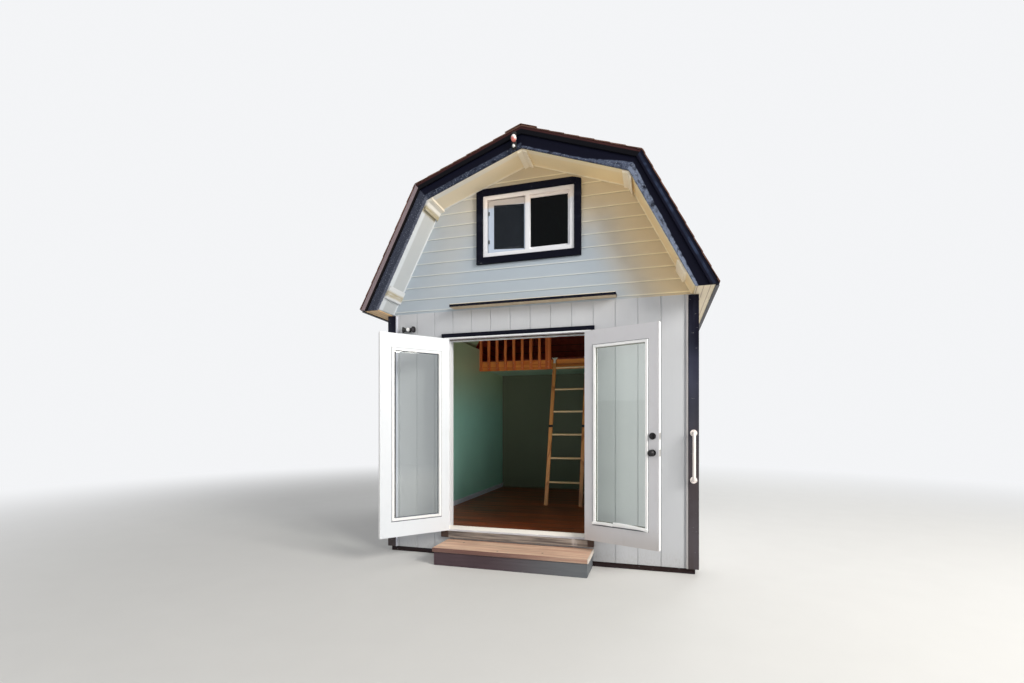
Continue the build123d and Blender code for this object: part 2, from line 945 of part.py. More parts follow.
def loft_floor():
    deck_y = (loft_front, inner_back)
    return block((-inner_half, inner_half), deck_y, (loft_beam_top, loft_top))


def loft_joists():
    """Joists under the deck, from the beam to the back wall."""
    joist_y = (loft_front + loft_beam_thickness, inner_back)
    joist_z = (loft_beam_top - loft_joist_depth, loft_beam_top)
    count = math.floor(2 * inner_half / loft_joist_spacing)
    joists = []
    for index in range(count):
        x = (index - (count - 1) / 2) * loft_joist_spacing
        joist_x = (x - joist_thickness / 2, x + joist_thickness / 2)
        joists.append(block(joist_x, joist_y, joist_z))
    return joists


def loft_ceiling():
    """A thin painted sheet under the joists, behind the beam."""
    sheet_y = (loft_front + loft_beam_thickness, inner_back)
    sheet_top = loft_beam_top - loft_joist_depth
    sheet_z = (sheet_top - loft_ceiling_thickness, sheet_top)
    return block((-inner_half, inner_half), sheet_y, sheet_z)


def guard_post(x, post_width):
    """A post on the beam's face, as high as the handrail or the roof lets it be."""
    post_y = (loft_front - baluster_thickness, loft_front)
    outer_x = abs(x) + post_width / 2
    roof_height = roof_under[1][1] - (outer_x - roof_under[1][0]) * lower_tan
    top = min(loft_top + guard_height - handrail_height, roof_height - fit_clearance)
    post_x = (x - post_width / 2, x + post_width / 2)
    return block(post_x, post_y, (loft_beam_bottom, top))


def guard_posts():
    """Newels beside the ladder's opening and balusters from each to its wall."""
    posts = []
    for side, newel_x in ((-1, newel_offset), (1, right_newel_offset)):
        posts.append(guard_post(side * newel_x, newel_width))
        wall_x = inner_half - baluster_width / 2
        count = round((wall_x - newel_x) / baluster_spacing)
        for index in range(1, count):
            x = side * (newel_x + index * baluster_spacing)
            posts.append(guard_post(x, baluster_width))
        posts.append(guard_post(side * wall_x, baluster_width))
    return posts


def handrails():
    rail_y = (loft_front - handrail_thickness + loft_beam_thickness / 2,
              loft_front + loft_beam_thickness / 2)
    rail_z = (loft_top + guard_height - handrail_height, loft_top + guard_height)
    roof_x = roof_under[1][0] + (roof_under[1][1] - rail_z[1]) / lower_tan
    wall_x = min(inner_half, roof_x)
    half_newel = newel_width / 2
    left = block((-wall_x, half_newel - newel_offset), rail_y, rail_z)
    right = block((right_newel_offset - half_newel, wall_x), rail_y, rail_z)
    return left, right


# Ladder, leaning from the floor against the loft's front edge
ladder_back_foot = loft_front - ladder_foot_distance
ladder_back_top = loft_front - fit_clearance
ladder_run = (ladder_back_top - ladder_back_foot) / (loft_top - floor_top)
ladder_lean = math.atan(ladder_run)
ladder_slice = ladder_rail_thickness / math.cos(ladder_lean)


def ladder_back(z):
    """Y of the rails' back face at a height."""
    return ladder_back_foot + (z - floor_top) * ladder_run


def rail_sides():
    for side in (-1, 1):
        middle = ladder_offset + side * ladder_rail_spacing / 2
        yield middle - ladder_rail_width / 2, middle + ladder_rail_width / 2


def ladder_rails():
    outline = [
        (ladder_back(floor_top) - ladder_slice, floor_top),
        (ladder_back(floor_top), floor_top),
        (ladder_back(loft_top), loft_top),
        (ladder_back(loft_top) - ladder_slice, loft_top),
    ]
    return [prism_along_x(outline, rail_x) for rail_x in rail_sides()]


def ladder_rungs():
    length = ladder_rail_spacing - ladder_rail_width
    rungs = []
    for index in range(rung_count):
        z = floor_top + first_rung_height + index * rung_spacing
        place = Pos(ladder_offset, ladder_back(z) - ladder_slice / 2, z)
        rungs.append(place * Rot(0, 90, 0) * Cylinder(rung_radius, length))
    return rungs


def ladder_hooks():
    """Bent straps from the front of each rail over its end onto the loft's deck."""
    foot_z = loft_top - hook_drop
    front_top = ladder_back(loft_top) - ladder_slice
    front_foot = ladder_back(foot_z) - ladder_slice
    outline = [
        (front_foot, foot_z),
        (front_top, loft_top),
        (loft_front + hook_reach, loft_top),
        (loft_front + hook_reach, loft_top + hook_thickness),
        (front_top - hook_thickness, loft_top + hook_thickness),
        (front_foot - hook_thickness, foot_z),
    ]
    hooks = []
    for rail_x in rail_sides():
        middle = sum(rail_x) / 2
        hook_x = (middle - hook_width / 2, middle + hook_width / 2)
        hooks.append(prism_along_x(outline, hook_x))
    return hooks


os.makedirs("parts", exist_ok=True)

save("skids", *skids())
save("base_skirt", *base_skirt())
save("floor_frame", *floor_frame())
save("floor_boards", floor_boards())

save("front_wall_left", front_wall_left())
save("front_wall_right", front_wall_right())
save("front_wall_head", front_wall_piece((-half_width, half_width), (head_top, wall_top)))
save("front_apron", front_siding_lip((rough_left, rough_right)))
save("front_gable", front_gable())
save("back_wall", back_wall())
save("right_wall", right_wall())
save("left_wall", other_side(right_wall()))
save("corner_boards", *corner_boards())

save("roof_lower_right", lower_slope())
save("roof_lower_left", other_side(lower_slope()))
save("roof_upper_right", upper_slope())
save("roof_upper_left", other_side(upper_slope()))
save("shingles_right", shingle_side())
save("shingles_left", other_side(shingle_side()))
save("ridge_cap", ridge_cap())
save("fascia_boards", fascia(), other_end(fascia()))
save("rake_trims", rake_trim(), other_end(rake_trim()))
save("gable_soffits", gable_soffit(), other_end(gable_soffit()))
save("lookouts", *lookouts(), *[other_end(piece) for piece in lookouts()])
save("eave_soffits", eave_soffit(), other_side(eave_soffit()))
save("eave_drips", eave_drip(), other_side(eave_drip()))

save("door_jambs", door_jamb(jamb_left, 1), door_jamb(jamb_right, -1))
save("door_head", door_head())
save("threshold", threshold())
save("sill_board", sill_board())
save("head_trim", head_trim())
save("hood_ledge", hood_ledge())

spindle_bore = across_leaf(spindle_radius + spindle_clearance, leaf_y, knob_z)
save("left_door", place_left(door_leaf()))
save("left_door_glass", place_left(door_glass()))
save("left_door_hinges", *[place_left(leaf_hinge(z)) for z in hinge_heights()])
save("right_door", place_right(door_leaf() - spindle_bore))
save("right_door_glass", place_right(door_glass()))
save("right_door_hinges", *[place_right(leaf_hinge(z)) for z in hinge_heights()])
save("lock_plates", *[place_right(plate) for plate in lock_plates()])
save("door_knob", place_right(door_knob()))
save("thumb_turn", place_right(thumb_turn()))
left_jamb_hinges = [left_hinge_place * jamb_hinge(z) for z in hinge_heights()]
right_jamb_hinges = [right_hinge_place * other_side(jamb_hinge(z)) for z in hinge_heights()]
save("jamb_hinges", *left_jamb_hinges, *right_jamb_hinges)

save("window_casing", window_casing())
save("window_frame", window_frame())
save("window_sash", window_sash())
save("window_glass", *window_glass())

save("step_tread", step_tread())
save("step_frame", *step_frame())
save("grab_handle", grab_handle())
save("wall_light", wall_light())
save("peak_light", peak_light())

save("loft_beam", loft_beam())
save("loft_floor", loft_floor())
save("loft_joists", *loft_joists())
save("loft_ceiling", loft_ceiling())
save("loft_balusters", *guard_posts())
save("loft_handrails", *handrails())
save("ladder_rails", *ladder_rails())
save("ladder_rungs", *ladder_rungs())
save("ladder_hooks", *ladder_hooks())
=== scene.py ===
# %% [markdown]
# # Dressing a gambrel-roofed garden cottage
#
# The cottage is a small timber building on skids, with glazed doors that stand open, a
# slider window in the gable, a loft and a ladder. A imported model, the frame, already gives
# every part its real size and place. This lesson adds the finishes and the small shapes.
# Everything is in metres, with X to the right, Y into the building and Z up.

import json
import math

import bmesh
import bpy
from mathutils import Matrix, Vector


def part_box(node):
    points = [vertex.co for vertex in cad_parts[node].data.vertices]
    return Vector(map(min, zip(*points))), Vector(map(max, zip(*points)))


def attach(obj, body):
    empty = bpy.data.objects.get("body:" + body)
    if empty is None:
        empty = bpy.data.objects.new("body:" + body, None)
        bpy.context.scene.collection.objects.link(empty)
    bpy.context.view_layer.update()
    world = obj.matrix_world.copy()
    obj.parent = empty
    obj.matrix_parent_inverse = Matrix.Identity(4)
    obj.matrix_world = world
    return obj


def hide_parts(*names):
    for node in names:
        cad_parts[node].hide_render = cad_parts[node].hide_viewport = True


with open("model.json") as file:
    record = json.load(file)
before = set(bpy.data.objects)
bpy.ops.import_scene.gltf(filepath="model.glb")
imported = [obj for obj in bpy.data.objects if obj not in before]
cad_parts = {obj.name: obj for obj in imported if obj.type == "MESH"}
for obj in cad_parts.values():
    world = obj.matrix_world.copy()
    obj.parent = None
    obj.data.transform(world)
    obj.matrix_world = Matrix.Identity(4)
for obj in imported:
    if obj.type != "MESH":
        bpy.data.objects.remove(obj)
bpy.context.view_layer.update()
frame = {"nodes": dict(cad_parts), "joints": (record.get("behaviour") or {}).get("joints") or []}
scene = bpy.context.scene

# %% [markdown]
# ## The camera
#
# The picture was taken with a wide lens, held level at chest height to the right of the
# doors. A level camera keeps the walls upright, and an upward shift brings in the ridge,
# as a shift lens would. A tilted camera would make the walls lean together.

# %% Camera
CAMERA_PLACE = (1.183, -6.388, 1.316)
CAMERA_TURN = 16.4
FOCAL_LENGTH = 17.0
SHIFT_ACROSS = -0.0019
SHIFT_UP = 0.0826

camera = bpy.data.objects.new("camera", bpy.data.cameras.new("camera"))
scene.collection.objects.link(camera)
camera.location = CAMERA_PLACE
camera.rotation_euler = (math.radians(90), 0, math.radians(CAMERA_TURN))
camera.data.lens = FOCAL_LENGTH
camera.data.shift_x = SHIFT_ACROSS
camera.data.shift_y = SHIFT_UP
scene.camera = camera
scene.view_settings.view_transform = "Standard"
print("camera", FOCAL_LENGTH, "mm lens, turned", CAMERA_TURN, "degrees")

# %% [markdown]
# ## Material sums
#
# A procedural material is arithmetic on positions. One small class wraps a socket, so
# that plain Python expressions add and link the nodes. Its method node adds a node of any
# other kind, from its type, its settings and what goes into it.

# %% A socket that can be used in sums
def adds(operation, swapped=False):
    """The method of an operator, which adds one Math node."""

    def method(wire, other):
        pair = (other, wire) if swapped else (wire, other)
        return wire.math(operation, *pair)

    return method


class Wire:
    """One output of a node tree, which can be added, multiplied and compared."""

    def __init__(self, tree, socket):
        self.tree = tree
        self.socket = socket

    def node(self, kind, inputs=None, output=0, stops=None, **settings):
        """Adds a node of any kind to the same tree and returns one of its outputs."""
        node = self.tree.nodes.new(kind)
        for name, value in settings.items():
            setattr(node, name, value)
        if stops:
            ends = node.color_ramp.elements
            for element, (place, colour) in zip(ends, (stops[0], stops[-1])):
                element.position = place
                element.color = paint(colour)
            for place, colour in stops[1:-1]:
                ends.new(place).color = paint(colour)
        for name, value in (inputs or {}).items():
            if isinstance(value, Wire):
                self.tree.links.new(value.socket, node.inputs[name])
            else:
                is_code = isinstance(value, str) and value.startswith("#")
                node.inputs[name].default_value = paint(value) if is_code else value
        return Wire(self.tree, node.outputs[output])

    def math(self, operation, first, second=0.0):
        return self.node("ShaderNodeMath", {0: first, 1: second}, operation=operation)

    def axis(self, name):
        return self.node("ShaderNodeSeparateXYZ", {0: self}, output=name)

    def __abs__(self):
        return self.math("ABSOLUTE", self)

    __add__ = __radd__ = adds("ADD")
    __mul__ = __rmul__ = adds("MULTIPLY")
    __sub__ = adds("SUBTRACT")
    __rsub__ = adds("SUBTRACT", swapped=True)
    __truediv__ = adds("DIVIDE")
    __mod__ = adds("FLOORED_MODULO")
    __gt__ = adds("GREATER_THAN")
    __lt__ = adds("LESS_THAN")
    x = property(lambda self: self.axis("X"))
    y = property(lambda self: self.axis("Y"))
    z = property(lambda self: self.axis("Z"))


# %% [markdown]
# ## Helpers for materials
#
# Paint is matched on a screen, so colours are screen codes, turned into the linear
# values that light works in. Noise stretched along one axis gives wood grain and streaks,
# and a soft step turns a height or a noise into a mask.

# %% Colour, noise and mask helpers
def linear(share):
    """A share of full screen brightness as an amount of light."""
    return share / 12.92 if share <= 0.04045 else ((share + 0.055) / 1.055) ** 2.4


def paint(code):
    """A screen code such as #8a8070 as a colour in light."""
    shares = [int(code[at:at + 2], 16) / 255 for at in (1, 3, 5)]
    return (*[linear(share) for share in shares], 1.0)


def new_material(name):
    """The Object coordinates in a new, empty material, which the wire remembers."""
    material = bpy.data.materials.new(name)
    material.use_nodes = True
    material.node_tree.nodes.clear()
    source = material.node_tree.nodes.new("ShaderNodeTexCoord")
    position = Wire(material.node_tree, source.outputs["Object"])
    position.material = material
    return position


def noise(position, scale, stretch=(1, 1, 1), detail=3.0):
    parts = {0: position, 1: stretch}
    place = position.node("ShaderNodeVectorMath", parts, operation="MULTIPLY")
    return place.node("ShaderNodeTexNoise", {"Vector": place, "Scale": scale, "Detail": detail})


def soft_step(value, low, high):
    """0 where value is at low, 1 where it is at high, and soft between."""
    parts = {"Value": value, "From Min": low, "From Max": high}
    return value.node("ShaderNodeMapRange", parts, interpolation_type="SMOOTHSTEP")


def mixed(mask, first, second):
    """The first number where mask is 0 and the second where it is 1."""
    return first + mask * (second - first)


def blend(mask, first, second):
    """The first colour where mask is 0 and the second where it is 1."""
    parts = {0: mask, 6: first, 7: second}
    return mask.node("ShaderNodeMix", parts, output=2, data_type="RGBA")


def tinted(colour, amount):
    """A colour made lighter or darker by an amount near 1."""
    grey = amount.node("ShaderNodeCombineColor", {0: amount, 1: amount, 2: amount})
    parts = {0: 1.0, 6: colour, 7: grey}
    return amount.node("ShaderNodeMix", parts, output=2, data_type="RGBA", blend_type="MULTIPLY")


def finish_material(position, shader):
    end = position.tree.nodes.new("ShaderNodeOutputMaterial")
    position.tree.links.new(shader.socket, end.inputs["Surface"])
    return position.material


def coated(position, colour, roughness, relief, depth, **plain):
    """Ends a material in one Principled shader, with relief as a bump of that depth."""
    bump = {"Height": relief, "Distance": depth, "Strength": 1.0}
    normal = position.node("ShaderNodeBump", bump)
    inputs = {"Base Color": colour, "Roughness": roughness, "Normal": normal, **plain}
    return finish_material(position, position.node("ShaderNodeBsdfPrincipled", inputs))


# %% [markdown]
# ## The roof's two slopes
#
# Both gambrel slopes, and every board that follows them, have the same two pitches, so
# the eave, knee and ridge of any of these parts can be read off its box. Paint wears along
# a board, so a position can also be turned until its first axis runs up its slope.

# %% The roof's lines
LOWER_SLOPE = math.tan(math.radians(62.6))
UPPER_SLOPE = math.tan(math.radians(19.9))


def roof_line(node, inset=0.0):
    """Eave, knee and ridge as (x, z), read off a part's box and moved inwards."""
    low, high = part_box(node)
    lower_top = low.z + high.x * LOWER_SLOPE - inset * math.hypot(1, LOWER_SLOPE)
    upper_top = high.z - inset * math.hypot(1, UPPER_SLOPE)
    knee_x = (lower_top - upper_top) / (LOWER_SLOPE - UPPER_SLOPE)
    eave = ((lower_top - low.z) / LOWER_SLOPE, low.z)
    return eave, (knee_x, upper_top - knee_x * UPPER_SLOPE), (0.0, upper_top)


def half_width(line, z):
    """Half of the gable's width at a height."""
    eave, knee, ridge = line
    if z <= knee[1]:
        return knee[0] + (knee[1] - z) / LOWER_SLOPE
    return max(0.0, (ridge[1] - z) / UPPER_SLOPE)


# %% A position that follows the slope
def slope_plane(position, start, angle):
    """How far along a slope, and how deep below it, a point lies."""
    x = abs(position.x)
    z = position.z
    along = x * math.cos(angle) - z * math.sin(angle)
    level = start[0] * math.sin(angle) + start[1] * math.cos(angle)
    return along, level - x * math.sin(angle) - z * math.cos(angle)


def under_roof(position, node="fascia_boards"):
    """A position as (along the slope, Y, depth below it), and 1 on the upper slopes."""
    eave, knee, ridge = roof_line(node)
    low_along, low_depth = slope_plane(position, knee, math.atan(LOWER_SLOPE))
    top_along, top_depth = slope_plane(position, ridge, math.atan(UPPER_SLOPE))
    upper = top_depth < low_depth
    parts = {0: mixed(upper, low_along, top_along), 1: position.y, 2: mixed(upper, low_depth, top_depth)}
    return position.node("ShaderNodeCombineXYZ", parts), upper


print("roof knee:", [round(v, 3) for v in roof_line("fascia_boards")[1]])

# %% [markdown]
# ## Paint on wood
#
# Outdoor paint on sawn boards is never even: the grain shows as fine ridges along the
# board, rain leaves faint streaks, and the foot of a wall takes splashed dirt. One
# function makes all the paints, from a colour and the grain's direction.

# %% Painted boards
GRAIN_ALONG_X = (0.05, 1, 1)
GRAIN_ALONG_Y = (1, 0.05, 1)
GRAIN_ALONG_Z = (1, 1, 0.05)
DIRT_HEIGHTS = (0.05, 0.30)
WARM_LIGHT_DEPTHS = (0.10, 0.66)
WARM_LIGHT_SIDES = (-1.3, 0.2)


def painted_board(name, colour, stretch, shade=0.06, dirt=0.0, warm_light=None):
    """Brushed paint, with dirt near the ground, or painted warm light near the right slope."""
    position = new_material(name)
    grain = noise(position, 160, stretch, 4)
    cloud = noise(position, 1.7)
    streak = noise(position, 14, stretch)
    level = 1 - shade + shade * (0.9 * cloud + 0.5 * streak + 0.6 * grain)
    body = tinted(colour, level)
    # Under the gable's right slope the boards turn warm: painted light thrown off the soffit.
    if warm_light:
        near = 1 - soft_step(under_roof(position, "front_gable")[0].z, *WARM_LIGHT_DEPTHS)
        body = blend(near * soft_step(position.x, *WARM_LIGHT_SIDES), body, tinted(warm_light, level))
    if dirt:
        splash = 1 - soft_step(position.z + 0.08 * cloud, *DIRT_HEIGHTS)
        speck = soft_step(noise(position, 75, (1, 1, 0.5), 6), 0.4, 0.75)
        body = blend(splash * (0.35 + 0.65 * speck) * dirt, body, "#8a8070")
    return coated(position, body, 0.45 + 0.2 * grain, 0.7 * grain + 0.3 * streak, 0.0012)


SIDING = painted_board("siding paint", "#c4c6ca", GRAIN_ALONG_Z, dirt=0.35)
LAP = painted_board("lap board paint", "#adb8c2", GRAIN_ALONG_X, warm_light="#d8c39e")
LAP_EDGE_HIGHLIGHT = painted_board("lap edge paint", "#ccd2d4", GRAIN_ALONG_X, warm_light="#fae8c0")
RAKE_STRIP_PAINT = painted_board("rake strip paint", "#d8dce0", GRAIN_ALONG_X, warm_light="#fceccc")
PALE_EDGE = painted_board("pale edge paint", "#f6ecd6", GRAIN_ALONG_X)
LEDGE_UNDERSIDE_SHADE = painted_board("ledge underside paint", "#ccb89a", GRAIN_ALONG_X)
LIT_LEFT_STRIP = painted_board("left strip paint", "#e0e2ee", GRAIN_ALONG_Z, dirt=0.3)
SHADED_RIGHT_STRIP = painted_board("right strip paint", "#c8c4c4", GRAIN_ALONG_Z, dirt=0.3)
print("painted boards:", SIDING.name, LAP.name, LIT_LEFT_STRIP.name, SHADED_RIGHT_STRIP.name)

# %% [markdown]
# ## The sloping soffit
#
# The soffit under the gable's overhang is cool on the shaded left, and warm on the right,
# where the sun comes off the wall. Its outer lip is brighter. On the left a tan patch is
# painted under the knee and on the lookout at the eave.

# %% Sloping soffit and lookouts
SOFFIT_LIP = (2.035, 2.065)
SOFFIT_SIDES = (-1.3, 0.75)
TAN_PATCHES = [(3.40, 3.43, 3.452, 3.476), (2.605, 2.63, 2.655, 2.68)]


def sloping_soffit(name, cool, warm_light, lip_strength):
    position = new_material(name)
    grain = noise(position, 150, GRAIN_ALONG_Y, 4)
    cloud = noise(position, 2.1, detail=4)
    x = position.x
    z = position.z
    sunny = soft_step(x, *SOFFIT_SIDES)
    upper = 1 - soft_step(abs(x), 0.86, 1.0)
    cool = blend(upper * 0.85, cool, "#eee0c6")
    body = tinted(blend(sunny, cool, warm_light), 0.93 + 0.12 * cloud + 0.04 * grain)
    out = abs(position.y)
    lip = soft_step(out, *SOFFIT_LIP) * lip_strength
    body = blend(lip, body, blend(sunny, "#e2e8ee", "#fff0ce"))
    for low, full, still, high in TAN_PATCHES:
        patch = (soft_step(z, low, full) - soft_step(z, still, high)) * (x < 0.0)
        body = blend(patch * soft_step(grain + cloud, 0.6, 1.1), body, "#b0a486")
    return coated(position, body, 0.55, grain, 0.0008)


CREAM = sloping_soffit("soffit paint", "#babec0", "#fce2b0", 0.6)
LOOKOUT_PAINT = sloping_soffit("lookout paint", "#d8dadc", "#fff0d4", 0.0)
print("sloping soffit:", CREAM.name, LOOKOUT_PAINT.name)

# %% [markdown]
# ## Beaded soffit boards
#
# Under the eaves the soffit is beaded board, with a narrow groove every two inches. The
# grooves are too fine to model, so a repeating ramp darkens them as painted shade and
# lowers the surface.

# %% Beaded soffit
BEAD_PITCH = 0.052
BEAD_WIDTH = 0.09


def beaded_soffit():
    position = new_material("beaded soffit paint")
    grain = noise(position, 140, GRAIN_ALONG_Y, 4)
    cloud = noise(position, 2, detail=3)
    bead = position.x / BEAD_PITCH % 1.0
    shaded_groove = bead < BEAD_WIDTH
    # The left side is painted orange: warm light thrown up onto the soffit.
    sunny = soft_step(position.x, -1.0, 1.0)
    body = blend(sunny, "#f0ca98", "#eedec0")
    body = tinted(body, 0.92 + 0.1 * cloud)
    body = blend(shaded_groove * 0.7, body, "#967660")
    return coated(position, body, 0.55, 0.4 * grain - 2 * shaded_groove, 0.001)


BEADED = beaded_soffit()
print("soffit:", BEADED.name)

# %% [markdown]
# ## Weathered navy trim
#
# The trim is a navy so dark that it reads as black, chalked unevenly by the sun. A corner
# board is lighter lower down and dark under the eave, as painted light and shade. The
# fascia has a pale stripe along its lower edge, painted light below the rake trim's
# shadow and chalked in places, and the lower left fascia is painted lighter all over, as
# lit. The rake trim has a painted shadow on the lower left and a painted bluish
# reflection on the lower right. Chips are a thresholded noise, so they stay small.

# %% Navy trim
def navy_board(name, stretch, colour, chalk, roughness=0.42, heights=None):
    """One colour, or with heights a row of (share of their top, colour) up the board."""
    position = new_material(name)
    grain = noise(position, 120, stretch, 5)
    cloud = noise(position, 3.5, detail=5)
    # With heights the colour changes up the board: lighter low down and dark under the eave, as painted
    # light and shade.
    if heights:
        share = position.z / EAVE_HEIGHT + 0.03 * cloud
        colour = share.node("ShaderNodeValToRGB", {0: share}, stops=heights)
    body = tinted(colour, 0.7 + 0.6 * cloud)
    scuff = noise(position, 16, stretch, 8)
    worn = soft_step(scuff + 0.35 * cloud, 0.62, 0.95) * chalk
    body = blend(worn, body, "#60687a")
    chip = soft_step(noise(position, 90, (0.35, 1, 1), 3) + 0.14 * chalk, 0.72, 0.8)
    body = blend(chip * scuff, body, "#9e9ea0")
    rough = roughness + 0.3 * worn + 0.1 * grain
    return coated(position, body, rough, grain - 0.6 * chip, 0.0008, **TRIM_GLOSS)


def fascia_paint():
    position = new_material("chalked fascia paint")
    place, upper = under_roof(position)
    eave, knee, ridge = roof_line("fascia_boards")
    right = position.x > 0.0
    climb = (position.z - eave[1]) / (knee[1] - eave[1])
    near_knee = soft_step(abs(position.x), 0.5, 0.98)
    grain = noise(place, 120, GRAIN_ALONG_X, 5)
    scuff = noise(place, 18, GRAIN_ALONG_X, 8)
    # The lower left fascia is painted lighter, as lit, and the rest dark, as in shade.
    dark = position.math("MAXIMUM", right, upper)
    body = tinted(blend(dark, "#3c404e", "#090a1a"), 0.6 + 0.8 * scuff)
    low_width = mixed(right, 0.020, 0.022 + 0.042 * climb)
    width = mixed(upper, low_width, mixed(right, 0.045, 0.018 + 0.046 * near_knee))
    ragged = noise(place, 30, (0.6, 1, 1), 4)
    depth = place.z + 0.006 * scuff + 0.016 * (ragged - 0.5)
    # The pale stripe along the lower edge is painted light below the rake trim's shadow, chalked in
    # places.
    stripe = soft_step(depth - mixed(upper, *FASCIA_DEPTHS) + width, 0.0, 0.007)
    low_lit_chalk = blend(right, "#5c606e", "#768096")
    high_lit_chalk = blend(right, "#383e4e", "#50586c")
    chalk = tinted(blend(upper, low_lit_chalk, high_lit_chalk), 0.5 + 1.0 * scuff)
    body = blend(stripe * soft_step(ragged + 0.4 * scuff, 0.44, 0.74), body, chalk)
    chip = soft_step(noise(place, 120, (0.6, 1, 1), 3), 0.60, 0.68)
    body = blend(chip * (0.8 * stripe + 0.5 * (1 - dark)), body, "#9ea8b8")
    return coated(position, body, 0.5 + 0.1 * grain, grain, 0.0008, **TRIM_GLOSS)


def edge_board_paint():
    position = new_material("rake trim paint")
    place, upper = under_roof(position, "rake_trims")
    grain = noise(place, 120, GRAIN_ALONG_X, 5)
    scuff = noise(place, 14, GRAIN_ALONG_X, 6)
    depth = place.z + 0.004 * scuff
    # Lower left: a purple-brown outer band over a dark painted shadow. Lower right: a bluish painted
    # reflection, broken up by noise.
    outer = 1 - soft_step(depth, 0.040, 0.046)
    reflection_band = soft_step(depth, 0.020, 0.026) - soft_step(depth, 0.042, 0.048)
    top = 1 - soft_step(depth, 0.018, 0.026)
    left_low = blend(outer, "#0e0a0c", "#8e7e82")
    worn = 0.35 + 0.65 * soft_step(noise(place, 12, detail=4), 0.45, 0.65)
    right_low = blend(reflection_band * worn, "#0b0b1a", "#2c364c")
    high = blend(top, "#08080e", "#3c2222")
    body = tinted(blend(upper, blend(position.x > 0.0, left_low, right_low), high), 0.7 + 0.6 * scuff)
    return coated(position, body, 0.5 + 0.1 * grain, grain, 0.0008, **TRIM_GLOSS)


TRIM_GLOSS = {"Specular IOR Level": 0.08}
FASCIA_DEPTHS = (0.164, 0.175)
EAVE_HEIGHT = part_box("corner_boards")[1].z
CORNER_LIGHT_AND_SHADE = [
    (0.05, "#504747"),
    (0.42, "#464044"),
    (0.60, "#383842"),
    (0.78, "#323344"),
    (0.84, "#121120"),
]
NAVY = navy_board("navy corner paint", GRAIN_ALONG_Z, None, 0.15, heights=CORNER_LIGHT_AND_SHADE)
NAVY_ACROSS = navy_board("navy trim paint across", GRAIN_ALONG_X, "#090a18", 0.06)
LIT_CHALKED_FASCIA = fascia_paint()
RAKE_NAVY = edge_board_paint()
SKIRT = navy_board("skirt paint", GRAIN_ALONG_X, "#2e2322", 0.35, 0.6)
print("navy trim:", NAVY.name, LIT_CHALKED_FASCIA.name, SKIRT.name)

# %% [markdown]
# ## Smooth white finishes
#
# The door leaves are factory primed and then brushed, so they are smoother than the
# siding but still show faint brush marks. The window frame is extruded vinyl: an even
# sheen with no grain. Both are pale, so a little grime in the hollows keeps them real.

# %% White doors and vinyl
def brushed_white(name, colour, roughness, marks, grime, foot=0.0):
    """A white finish, with foot as the amount of painted shade on the lowest hand's breadth."""
    position = new_material(name)
    brush = noise(position, 90, (1, 1, 0.03), 4)
    cloud = noise(position, 2.6, detail=4)
    body = tinted(colour, 0.97 + 0.04 * cloud)
    stain = soft_step(noise(position, 17, (1, 1, 0.4), 6), 0.55, 0.8) * grime
    body = blend(stain, body, "#b0a898")
    # The foot is painted darker towards the bottom: painted shade.
    if foot:
        dusty = 1 - soft_step(position.z + 0.1 * cloud, 0.3, 0.55)
        body = blend(dusty * foot, body, "#a89c90")
    rough = roughness + 0.15 * cloud
    return coated(position, body, rough, brush, marks)


# The right leaf's white is painted darker than the left leaf's sunlit copy, as shade.
DOOR_WHITE = brushed_white("white door paint", "#d8d7db", 0.36, 0.0003, 0.1, 0.45)
SUNLIT_WHITE = brushed_white("sunlit door paint", "#e6eaef", 0.36, 0.0003, 0.05)
MOULDING_WHITE = brushed_white("white glazing frame", "#fcfcfc", 0.25, 0.0001, 0.05)
JAMB_WHITE = brushed_white("white frame paint", "#f0f1f4", 0.4, 0.0005, 0.12)
HANDLE_WHITE = brushed_white("white handle enamel", "#faf0ec", 0.22, 0.0002, 0.25)
print("white finishes:", DOOR_WHITE.name, SUNLIT_WHITE.name, HANDLE_WHITE.name)


# %% Vinyl with a painted warm reflection at the top
def window_vinyl(name, low_colour, top_colour):
    position = new_material(name)
    cloud = noise(position, 2.6, detail=4)
    fine = noise(position, 120, (1, 1, 0.1), 3)
    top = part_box("window_sash")[1].z
    # The top turns to the second colour: a painted warm reflection.
    warm_reflection = soft_step(position.z + 0.02 * cloud, top - 0.085, top - 0.045)
    body = tinted(blend(warm_reflection, low_colour, top_colour), 0.96 + 0.06 * cloud)
    return coated(position, body, 0.3 + 0.1 * cloud, fine, 0.0001)


VINYL = window_vinyl("white vinyl", "#ecedf2", "#f4e8de")
SCREEN_VINYL = window_vinyl("screen frame vinyl", "#becadc", "#beb2a8")
print("vinyl:", VINYL.name, SCREEN_VINYL.name)

# %% [markdown]
# ## Timber
#
# Bare and varnished timber differ in colour and gloss, but share one pattern. A wave
# texture would look too even, so the rings are the fractional part of a stretched noise,
# which bends like real figure. Floor strips take a tone each from an attribute.

# %% Timber
RINGS = 7.0


def timber(name, stretch, light, dark, roughness, grey=0.0, gloss=0.0, toned=False):
    """Wood between two screen colours, bleached, varnished or with a tone for each piece."""
    position = new_material(name)
    figure = noise(position, 4.5, stretch, 2) * RINGS % 1.0
    late = soft_step(figure, 0.35, 0.9) - soft_step(figure, 0.92, 1.0)
    pore = noise(position, 210, stretch, 5)
    body = blend(0.65 * late + 0.5 * pore - 0.1, light, dark)
    if toned:
        part = position.node("ShaderNodeAttribute", output="Fac", attribute_name="tone")
        body = tinted(body, 0.68 + 0.6 * part)
    if grey:
        bleach = soft_step(noise(position, 6, stretch, 6), 0.3, 0.7)
        body = blend(bleach * grey, body, "#96928c")
    rough = roughness + 0.15 * pore
    return coated(position, body, rough, 0.5 * pore + 0.3 * late, 0.0008, **{"Coat Weight": gloss})


